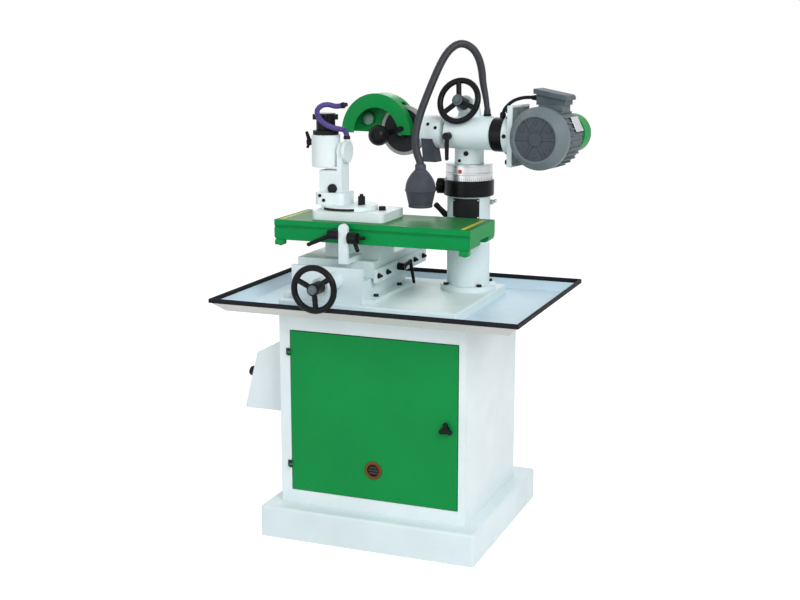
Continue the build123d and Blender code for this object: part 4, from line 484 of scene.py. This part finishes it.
def arc_strip(bm, middle, radii, heights, start, stop):
    """A thin strip bent round an upright axis from one angle to another, with its outer edges broken."""
    steps = 32
    inner, outer = radii
    low, high = heights
    edge = outer - inner
    section = [(inner, low), (outer, low + edge), (outer, high - edge), (inner, high)]
    rings = []
    for k in range(steps + 1):
        a = radians(start + (stop - start) * k / steps)
        rings.append([
            bm.verts.new((middle[0] + r * cos(a), middle[1] + r * sin(a), z)) for r, z in section
        ])
    join_rings(bm, rings)
    bm.faces.new(rings[0])
    bm.faces.new(rings[-1])


def socket_screw(bm, at, d, h):
    """A socket head screw standing on the frame's XY plane."""
    r = d / 2
    lathe(bm, at, [
        (r, -0.4), (r, h - 1), (r - 1, h), (0.5 * r, h), (0.48 * r, h, 6), (0.46 * r, 0.45 * h, 6),
        (0, 0.45 * h),
    ], segments=24)


def hex_head(bm, at, across, h):
    """A chamfered hexagon head with a washer under it."""
    r = across / 2
    lathe(bm, at, [
        (1.25 * r, -0.4), (1.25 * r, 1.2), (1.1 * r, 1.4), (r, 1.4, 6), (r, h - 1, 6), (0.86 * r, h), (0, h),
    ], segments=36)


def add(name, data):
    """A new object in the scene."""
    obj = bpy.data.objects.new(name, data)
    bpy.context.scene.collection.objects.link(obj)
    return obj


def piece(name, bm, look, body, sharp=35):
    """Makes the object of a mesh in millimetres, which rides on a body."""
    bmesh.ops.recalc_face_normals(bm, faces=bm.faces)
    bmesh.ops.scale(bm, vec=(MM, MM, MM), verts=bm.verts)
    mesh = bpy.data.meshes.new(name)
    bm.to_mesh(mesh)
    bm.free()
    mesh.shade_smooth()
    mesh.set_sharp_from_angle(angle=radians(sharp))
    mesh.materials.append(looks[look])
    obj = add(name, mesh)
    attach(obj, body)
    return obj


def nurbs(name, points):
    """An open smooth spline with the route's points, in millimetres, as its control points."""
    curve = bpy.data.curves.new(name, "CURVE")
    curve.dimensions = "3D"
    spline = curve.splines.new("NURBS")
    spline.points.add(len(points) - 1)
    for control, point in zip(spline.points, points):
        control.co = (*mm(point), 1.0)
    spline.order_u = 3
    spline.use_endpoint_u = True
    curve.resolution_u = 16
    return add(name, curve)


def spline_points(points):
    """Points along a route's smooth spline, in millimetres."""
    obj = nurbs("route", points)
    mesh = bpy.data.meshes.new_from_object(obj)
    found = [v.co / MM for v in mesh.vertices]
    bpy.data.objects.remove(obj)
    bpy.data.meshes.remove(mesh)
    return found


def resampled(points, step):
    """Points a step apart along a line of points."""
    found = [points[0]]
    left = step
    for a, b in zip(points, points[1:]):
        run = (b - a).length
        done = 0.0
        while run - done >= left:
            done += left
            found.append(a.lerp(b, done / run))
            left = step
        left -= run - done
    return found


def tube_rings(bm, points, radius_at):
    """A tube along points whose radius is a function of the point's number."""
    segments = 20
    side = None
    rings = []
    for k, point in enumerate(points):
        ahead = points[min(k + 1, len(points) - 1)]
        behind = points[max(k - 1, 0)]
        along = (ahead - behind).normalized()
        if side is None:
            side = along.orthogonal().normalized()
        side = (side - along * side.dot(along)).normalized()
        other = along.cross(side)
        r = radius_at(k)
        ring = []
        for n in range(segments):
            a = 2 * pi * n / segments
            ring.append(bm.verts.new(point + side * (r * cos(a)) + other * (r * sin(a))))
        rings.append(ring)
    join_rings(bm, rings)
    bm.faces.new(rings[0])
    bm.faces.new(rings[-1])


def in_head(points):
    return [HEAD @ Vector(p) for p in points]


def cord(name, route, diameter, look, body, node):
    """A round cord along a route that takes the place of a CAD node."""
    obj = nurbs(name, route)
    obj.data.bevel_depth = diameter / 2 * MM
    obj.data.bevel_resolution = 6
    obj.data.use_fill_caps = True
    obj.data.materials.append(looks[look])
    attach(obj, body)
    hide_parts(node)
    return obj


# Pieces

def tray_edge_trim():
    """A rubber channel pressed over the tray's rim, mitred at the corners."""
    half_w, half_d, middle_y, rim_z = 416.0, 307.0, -8.5, 646.0
    section = [
        (-4.4, -9.0), (-4.4, -1.0), (-3.8, 1.0), (-2.2, 2.2), (0.4, 2.2), (1.8, 1.0), (2.4, -1.0),
        (2.4, -9.0), (1.8, -9.6), (0.2, -9.6), (0.0, -9.0), (0.0, -1.0), (-2.0, -1.0), (-2.0, -9.0),
        (-2.2, -9.6), (-3.8, -9.6),
    ]
    bm = bmesh.new()
    rings = []
    for sx, sy in ((1, 1), (-1, 1), (-1, -1), (1, -1)):
        rings.append([
            bm.verts.new((sx * (half_w + out), middle_y + sy * (half_d + out), rim_z + up))
            for out, up in section
        ])
    join_rings(bm, rings + rings[:1])
    piece("tray_edge_trim", bm, "rubber", "base", sharp=50)


def door_vent():
    """A copper ring in the door's vent hole, with a dark plug behind three slats."""
    door_front, vent_x, vent_z = -229.5, 6.6, 205.0
    at = place((vent_x, door_front, vent_z), FRONT)
    bm = bmesh.new()
    lathe(bm, at, [
        (18.9, -4), (18.9, 0), (24.4, 0), (24.4, 1.2), (23.2, 2.2), (19.4, 3.0), (16.8, 2.4), (15.6, 0.4),
        (15.6, -4), (18.9, -4),
    ], segments=56)
    piece("door_vent_ring", bm, "copper", "door")
    bm = bmesh.new()
    lathe(bm, at, [(16.0, -3.6), (16.0, -1.6), (0, -1.6)])
    piece("door_vent_louvre", bm, "oxide", "door")
    reach, pitch, lean = 15.4, 7.5, -28
    bm = bmesh.new()
    for k in (-1, 0, 1):
        half = (reach ** 2 - (pitch * k) ** 2) ** 0.5
        slab(bm, at @ moved(0, pitch * k, -0.4) @ turned(lean, "X"), (2 * half - 1.5, 4.6, 1.4), edge=0.4)
    piece("door_vent_slats", bm, "slat", "door")


def gib_screws():
    """Set screws with lock nuts along the gib strip."""
    face_x, middle_z = -14.0, 705.0
    bm = bmesh.new()
    for y in (-140, -80, 122, 188):
        at = place((face_x, y, middle_z), RIGHT)
        hex_head(bm, at, 12.0, 6.5)
        lathe(bm, at, [(3.6, 6), (3.6, 11), (3.0, 11.6), (1.7, 11.6, 6), (1.7, 9, 6), (0, 9)], segments=24)
    piece("gib_screws", bm, "oxide", "saddle")


def table_marks():
    """Yellow limit strips across the table's top and a stop under each end."""
    strip_y, strip_z = -96.0, 845.2
    bm = bmesh.new()
    for x in (-272.0, 229.0):
        slab(bm, place((x, strip_y, strip_z)), (11.0, 168.0, 0.9), edge=0.3, segments=2)
    piece("table_limit_strips", bm, "yellow", "table")
    stop_y, stop_z, stop_foot = -182.0, 786.0, 779.2
    bm = bmesh.new()
    for x in (-274.0, 236.0):
        slab(bm, place((x, stop_y, stop_z)), (24.0, 24.0, 14.0), edge=2.5)
        socket_screw(bm, place((x, stop_y, stop_foot), DOWN), 9.0, 3.0)
    piece("table_end_stops", bm, "green", "table")


def ring_scale():
    """Cut graduations round the swivel ring, the raised bands above them and a red zero mark."""
    step, foot, zero_turn, zero_z = 5, 939.5, -94, 964.5
    bm = bmesh.new()
    for k in range(360 // step):
        long = 9.0 if k % 2 == 0 else 6.0
        at = COLUMN @ turned(step * k, "Z") @ moved(RING_R - 0.05, 0, foot + long / 2)
        slab(bm, at, (0.5, 0.7, long), edge=0.12, segments=1)
    piece("ring_graduations", bm, "oxide", "swivel")
    low, proud, top = RING_R - 0.2, RING_R + 1.5, RING_R + 0.9
    bm = bmesh.new()
    lathe(bm, COLUMN, [(low, 953), (proud, 954.2), (proud, 958.4), (low, 959.6)], segments=96)
    lathe(bm, COLUMN, [(low, 976.2), (top, 977.2), (top, 979.6), (RING_R - 0.7, 981.0)], segments=96)
    piece("ring_bands", bm, "steel", "swivel")
    bm = bmesh.new()
    at = COLUMN @ turned(zero_turn, "Z") @ place((RING_R - 0.1, 0, zero_z), RIGHT)
    lathe(bm, at, [(5.2, -0.4), (5.2, 0.5), (4.4, 1.0), (0, 1.2)], segments=32)
    piece("ring_zero_mark", bm, "red", "swivel")


def column_plate():
    """A bare black plate rivetted round the front of the column, below the collar."""
    facing, half, low, high = -80.0, 37.0, 836.0, 892.0
    inset_angle, inset = 4, 5
    radii = (COLUMN_R - 0.1, COLUMN_R + 0.9)
    bm = bmesh.new()
    arc_strip(bm, (COLUMN_X, COLUMN_Y), radii, (low, high), facing - half, facing + half)
    piece("column_plate", bm, "oxide", "base")
    bm = bmesh.new()
    for turn in (facing - half + inset_angle, facing + half - inset_angle):
        for z in (low + inset, high - inset):
            at = COLUMN @ turned(turn, "Z") @ place((COLUMN_R + 0.8, 0, z), RIGHT)
            lathe(bm, at, [(2.2, 0), (2.0, 0.7), (1.2, 1.2), (0, 1.35)], segments=20)
    piece("column_plate_rivets", bm, "steel", "base")


def work_holding():
    """The post's domed screw, its foot's screws, a dark band on the turntable's rim that is painted shadow
    of the gap between turntable and fixture base, and the fixture's clamp nut.
    """
    post_front, foot_front, fixture_top = -104.0, -120.0, 867.7
    turntable, turntable_r = (-120.0, -80.0), 75.0
    bm = bmesh.new()
    lathe(bm, place((-158.0, post_front, 922.0), FRONT), [
        (12.5, -0.4), (12.5, 4), (11.6, 8), (8.2, 11.4), (4, 13), (0, 13.4),
    ])
    for x, z in ((-188.0, 904.0), (-177.0, 892.0)):
        socket_screw(bm, place((x, foot_front, z), FRONT), 9.0, 3.0)
    piece("post_foot_screws", bm, "oxide", "turntable")
    bm = bmesh.new()
    hex_head(bm, place((-28.0, -78.0, fixture_top)), 17.0, 11.0)
    piece("fixture_clamp_nut", bm, "oxide", "table")
    # A thin dark band on the rim: painted shadow where the turntable meets the fixture base, not a cut slot.
    bm = bmesh.new()
    radii = (turntable_r - 0.1, turntable_r + 0.5)
    arc_strip(bm, turntable, radii, (869.4, 876.6), start=-131.0, stop=-58.0)
    piece("turntable_shadow_band", bm, "oxide", "turntable")


def head_screws():
    """Screws in the head's neck, and those of the motor's plate, the arm's flange and the spindle block."""
    neck_r, plate_x = 39.0, 151.0
    bm = bmesh.new()
    for x, z, d in ((9.4, 1010.0, 13.0), (-9.4, 990.0, 8.0)):
        y = -(neck_r ** 2 - x ** 2) ** 0.5
        socket_screw(bm, HEAD @ place((x, y, z), (x, y, 0)), d, 4.0)
    piece("neck_screws", bm, "oxide", "lift")
    bm = bmesh.new()
    for y in (-78.0, 6.0):
        for z in (AXIS_Z - 66.0, AXIS_Z + 66.0):
            hex_head(bm, HEAD @ place((plate_x, y, z), LEFT), 13.0, 8.0)
    # Each round of screws: its place along the barrel, its radius, the screw's size, and the angles.
    rounds = [
        (141.5, 52.0, 11.0, 3.0, (-90.0, -30.0, 30.0, 90.0, 150.0)),
        (-86.0, 44.0, 9.0, 2.5, (60.0,)),
        (-62.0, 44.0, 9.0, 2.5, (72.0,)),
    ]
    for x, radius, d, h, angles in rounds:
        for angle in angles:
            at = HEAD @ moved(x, BARREL_Y, AXIS_Z) @ turned(angle, "X") @ place((0, 0, radius))
            socket_screw(bm, at, d, h)
    piece("drive_screws", bm, "oxide", "tilt")


def motor_plate():
    """A bare rating plate on the motor's right side, with a rivet in each corner."""
    reach, thick, lean = 80.0, 1.6, -26
    at = HEAD @ moved(MOTOR_X, BARREL_Y, AXIS_Z) @ turned(lean, "Y")
    bm = bmesh.new()
    slab(bm, at @ moved(reach, 0, 0), (thick, 46.0, 40.0), edge=0.5, segments=2)
    piece("motor_rating_plate", bm, "plate", "tilt")
    bm = bmesh.new()
    for y in (-20.0, 20.0):
        for z in (-17.0, 17.0):
            corner = at @ moved(reach + thick / 2, y, z) @ place((0, 0, 0), RIGHT)
            lathe(bm, corner, [(1.9, 0), (1.7, 0.6), (0.9, 1.0), (0, 1.1)], segments=18)
    piece("motor_plate_rivets", bm, "steel", "tilt")


def lamp_details():
    """The bulb in the shade, and the shade's neck collar, belly band and rolled rim."""
    at = HEAD @ Matrix.Translation(LAMP_TOP)
    bm = bmesh.new()
    lathe(bm, at, [
        (0, -93), (10, -91.6), (19, -85), (23.5, -74), (23, -61), (17, -45), (13, -33), (12, -20), (0, -20),
    ])
    piece("lamp_bulb", bm, "bulb", "lift")
    bm = bmesh.new()
    lathe(bm, at, [(13.2, -0.6), (14.6, 0), (14.6, 9), (13.2, 11.5), (11.2, 13), (10.4, 13)], segments=36)
    lathe(bm, at, [(39.6, -52.6), (40.9, -54), (40.9, -58), (39.4, -59.6)], segments=64)
    lathe(bm, at, [(29.6, -101), (31.2, -100.5), (32.2, -97), (31.3, -94.8)], segments=64)
    piece("lamp_collars", bm, "lamp", "lift")


def gooseneck():
    """The lamp's bendable arm: a ribbed sleeve, slimmer near its threaded foot."""
    full_r, foot_r, taper = 10.5, 7.0, 110.0
    pitch = 4.2
    groove = (0.0, 0.25, 0.6, 0.25)
    step = pitch / len(groove)
    points = resampled(spline_points(in_head(GOOSENECK_ROUTE)), step)

    def radius_at(k):
        slimmer = (full_r - foot_r) * max(0.0, 1.0 - k / (taper / step))
        return full_r - slimmer - groove[k % len(groove)]

    bm = bmesh.new()
    tube_rings(bm, points, radius_at)
    foot = HEAD @ Matrix.Translation(GOOSENECK_FOOT)
    lathe(bm, foot, [(9.5, 0), (9.5, 9), (9.0, 12), (8.4, 18), (7.2, 22)], segments=36)
    arm = piece("lamp_gooseneck", bm, "sleeve", "lift", sharp=60)
    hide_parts("gooseneck")
    bm = bmesh.new()
    hex_head(bm, foot @ moved(0, 0, -0.4), 20.0, 7.0)
    piece("lamp_foot_nut", bm, "oxide", "lift")


def motor_lead():
    """The motor's supply lead, with a strain relief at each end."""
    lead = cord("motor_supply_lead", in_head(LEAD_ROUTE), 9.0, "rubber", "tilt", "motor_lead")
    start = Vector(LEAD_ROUTE[0])
    end = Vector(LEAD_ROUTE[-1])
    bm = bmesh.new()
    lathe(bm, HEAD @ place(start, LEFT), [
        (9, -0.4), (9, 4), (7.6, 5), (6.8, 14), (5.4, 23), (4.6, 24),
    ], segments=32)
    lathe(bm, HEAD @ place(end), [(8, -0.4), (8, 3), (7.2, 4.5), (5.6, 7), (4.6, 7.5)], segments=32)
    boots = piece("lead_strain_reliefs", bm, "rubber", "tilt")


def coolant_tube():
    """The purple tube on the work head, with a ferrule at its foot and a nozzle at its tip."""
    hose = cord("coolant_tube", HOSE_ROUTE, 14.0, "purple", "work_head", "coolant_hose")
    start = Vector(HOSE_ROUTE[0])
    end = Vector(HOSE_ROUTE[-1])
    along = (end - Vector(HOSE_ROUTE[-2])).normalized()
    bm = bmesh.new()
    lathe(bm, place(start), [(9, -0.4), (9, 5), (8.4, 6.5), (7.3, 9), (6.8, 9)], segments=32)
    lathe(bm, place(end - 7 * along, along), [
        (6.8, 0), (8.2, 0.6), (8.2, 8), (6, 10), (4.4, 17), (2.6, 17), (2.6, 8), (0, 8),
    ], segments=28)
    fitting = piece("coolant_fittings", bm, "oxide", "work_head")


def handwheel_hubs():
    """The steel hub nut of each handwheel."""
    cross_hub = (-108.0, -343.0, 698.0)
    bm = bmesh.new()
    hex_head(bm, place(cross_hub, FRONT), 19.0, 9.0)
    piece("cross_hub_nut", bm, "motor", "cross_feed")
    lean, reach = radians(18), 71.0
    shaft = Vector((0, -cos(lean), sin(lean)))
    shaft_foot = Vector((0, -5, AXIS_Z + 66.0))
    at = HEAD @ place(shaft_foot + shaft * reach, shaft)
    bm = bmesh.new()
    lathe(bm, at, [(14.5, -0.4), (14.5, 1.4), (13.4, 2.4), (9, 2.4)])
    hex_head(bm, at @ moved(0, 0, 2.2), 17.0, 8.0)
    piece("lift_hub_nut", bm, "motor", "lift_wheel")


def switch_details():
    """Cover screws, button bezels, a dark pilot lamp and the gland's nut on the bare switch box."""
    box_y, cover_t = -75.0, 3.0
    top = Vector((-354.0, box_y, 478.0))
    foot = Vector((-394.0, box_y, 320.0))
    rise = (top - foot).normalized()
    out = Vector((-rise.z, 0, rise.x))
    middle = (top + foot) / 2 + out * cover_t

    def on_cover(across, height):
        """A frame on the cover, so far from its middle."""
        return place(middle + Vector((0, across, 0)) + rise * height, out)

    bm = bmesh.new()
    for across in (-80.0, 80.0):
        for height in (-61.0, 61.0):
            lathe(bm, on_cover(across, height), [
                (4.5, -0.2), (4.4, 1.2), (3.2, 2.2), (2.0, 2.3), (1.6, 1.4), (0, 1.4),
            ], segments=24)
    piece("cover_screws", bm, "steel", "base")
    bm = bmesh.new()
    for height in (-25.0, 25.0):
        lathe(bm, on_cover(0.0, height), [
            (15.5, -0.2), (15.5, 2), (14.2, 3.2), (11.8, 3.2), (11.6, -0.2),
        ], segments=48)
    piece("button_bezels", bm, "oxide", "base")
    bm = bmesh.new()
    lathe(bm, on_cover(-70.0, 14.0), [
        (16.5, -0.2), (16.5, 5), (15.4, 6.4), (14.2, 6.8), (13.6, 14), (11, 17.6), (0, 19),
    ])
    piece("box_pilot_lamp", bm, "oxide", "base")
    bm = bmesh.new()
    lathe(bm, place((-307.0, box_y, 320.4), DOWN), [
        (17, 0, 6), (17, 7, 6), (15, 8), (14.2, 8), (14.2, 0),
    ], segments=36)
    piece("gland_nut", bm, "black", "base")


def column_fittings():
    """A black lever on the column's left and a small oil nipple on its right."""
    foot = Vector((103, 84, 830))
    tip = Vector((62, 79, 870))
    reach = (tip - foot).length
    bm = bmesh.new()
    lathe(bm, place(foot, tip - foot), [
        (11, -4), (11, 6), (9.4, 8), (7.2, 0.7 * reach), (7.8, reach - 4), (6.2, reach), (0, reach + 1.5),
    ], segments=28)
    piece("column_lever", bm, "black", "base")
    nipple_foot = (COLUMN_X + 56.0, COLUMN_Y + 10.0, 876.0)
    bm = bmesh.new()
    lathe(bm, place(nipple_foot, (1, 0.15, 0.35)), [
        (6, 0), (6, 4), (7, 4, 6), (7, 9, 6), (4.4, 10), (4.4, 15), (5.4, 17), (4, 20), (0, 21),
    ], segments=24)
    piece("column_oil_nipple", bm, "steel", "base")


def guard_details():
    """The belt guard's cover screws, and a domed cap on the boss inside the wheel guard, whose pale colour
    is painted light.
    """
    belt_guard_back = 116.0
    port = (-300.0, -22.0, AXIS_Z + 26.0)
    screws = [(-200.0, 0.0), (286.0, 0.0), (MOTOR_X, 41.0), (MOTOR_X, -41.0)]
    screws += [(x, side * reach) for x, reach in ((-90.0, 20.0), (60.0, 22.0)) for side in (1, -1)]
    bm = bmesh.new()
    for x, dz in screws:
        hex_head(bm, HEAD @ place((x, belt_guard_back, AXIS_Z + dz), BACK), 9.0, 5.0)
    piece("belt_guard_screws", bm, "oxide", "tilt")
    bm = bmesh.new()
    # The cap's pale green is painted light, standing in for a bright spot in the dark guard.
    lathe(bm, HEAD @ place(port, FRONT), [
        (17, -0.4), (17, 1.5), (15.4, 4), (11, 6.6), (5.5, 8), (0, 8.4),
    ], segments=48)
    piece("guard_port_cap", bm, "cap", "guard")


tray_edge_trim()
door_vent()
gib_screws()
table_marks()
ring_scale()
column_plate()
work_holding()
head_screws()
motor_plate()
lamp_details()
gooseneck()
motor_lead()
coolant_tube()
handwheel_hubs()
switch_details()
column_fittings()
guard_details()


# Stage, light and camera

FLOOR_HALF = 20.0
FLOOR_GLOW = 0.58
STUDIO_LIGHT = 0.52
BACKDROP_LIGHT = 1.0


def backdrop_rays(nodes, links):
    """1 for rays that see the backdrop, directly or in a reflection, and 0 for light on the object."""
    path = nodes.new("ShaderNodeLightPath")
    seen = path.outputs["Is Camera Ray"]
    for kind in ("Is Glossy Ray", "Is Transmission Ray"):
        either = nodes.new("ShaderNodeMath")
        either.operation = "MAXIMUM"
        links.new(seen, either.inputs[0])
        links.new(path.outputs[kind], either.inputs[1])
        seen = either.outputs["Value"]
    return seen


def floor():
    """A white floor that glows only where it is seen, so that it meets the backdrop."""
    bm = bmesh.new()
    bmesh.ops.create_grid(bm, x_segments=1, y_segments=1, size=FLOOR_HALF)
    mesh = bpy.data.meshes.new("floor")
    bm.to_mesh(mesh)
    bm.free()
    s = Shader("floor_white")
    s.set("Base Color", (0.82, 0.82, 0.82, 1.0))
    s.set("Roughness", 0.9)
    s.set("Specular IOR Level", 0.1)
    s.set("Emission Color", (1.0, 1.0, 1.0, 1.0))
    s.set("Emission Strength", s.math("MULTIPLY", backdrop_rays(s.nodes, s.links), FLOOR_GLOW))
    mesh.materials.append(s.material)
    add("floor", mesh)


def world():
    """A white studio, dimmer as a light than as a backdrop."""
    scene = bpy.context.scene
    scene.world = scene.world or bpy.data.worlds.new("studio")
    scene.world.use_nodes = True
    nodes = scene.world.node_tree.nodes
    links = scene.world.node_tree.links
    background = nodes["Background"]
    background.inputs["Color"].default_value = (1.0, 1.0, 1.0, 1.0)
    strength = nodes.new("ShaderNodeMapRange")
    strength.inputs["To Min"].default_value = STUDIO_LIGHT
    strength.inputs["To Max"].default_value = BACKDROP_LIGHT
    links.new(backdrop_rays(nodes, links), strength.inputs["Value"])
    links.new(strength.outputs["Result"], background.inputs["Strength"])


def lamp(name, location, target, size, power):
    """A square area light that faces a target."""
    light = bpy.data.lights.new(name, "AREA")
    light.shape = "SQUARE"
    light.size = size
    light.energy = power
    obj = add(name, light)
    obj.location = location
    obj.rotation_euler = (Vector(target) - Vector(location)).to_track_quat("-Z", "Y").to_euler()


def camera():
    """The camera that was fitted to the photo's edges."""
    data = bpy.data.cameras.new("camera")
    data.sensor_width = 36.0
    data.lens = 59.62
    obj = add("camera", data)
    obj.location = (1.2771, -3.2678, 1.3492)
    obj.rotation_euler = (radians(78.17), 0.0, radians(21.48))
    bpy.context.scene.camera = obj


floor()
world()
lamp("key", (2.7, -2.3, 2.9), (0.0, 0.0, 0.75), size=2.2, power=98.0)
lamp("fill", (-1.6, -3.6, 1.5), (0.0, 0.0, 0.75), size=2.4, power=26.0)
lamp("back", (-1.5, 2.8, 2.8), (0.0, 0.0, 0.9), size=2.0, power=30.0)
camera()
bpy.context.scene.view_settings.view_transform = "Standard"
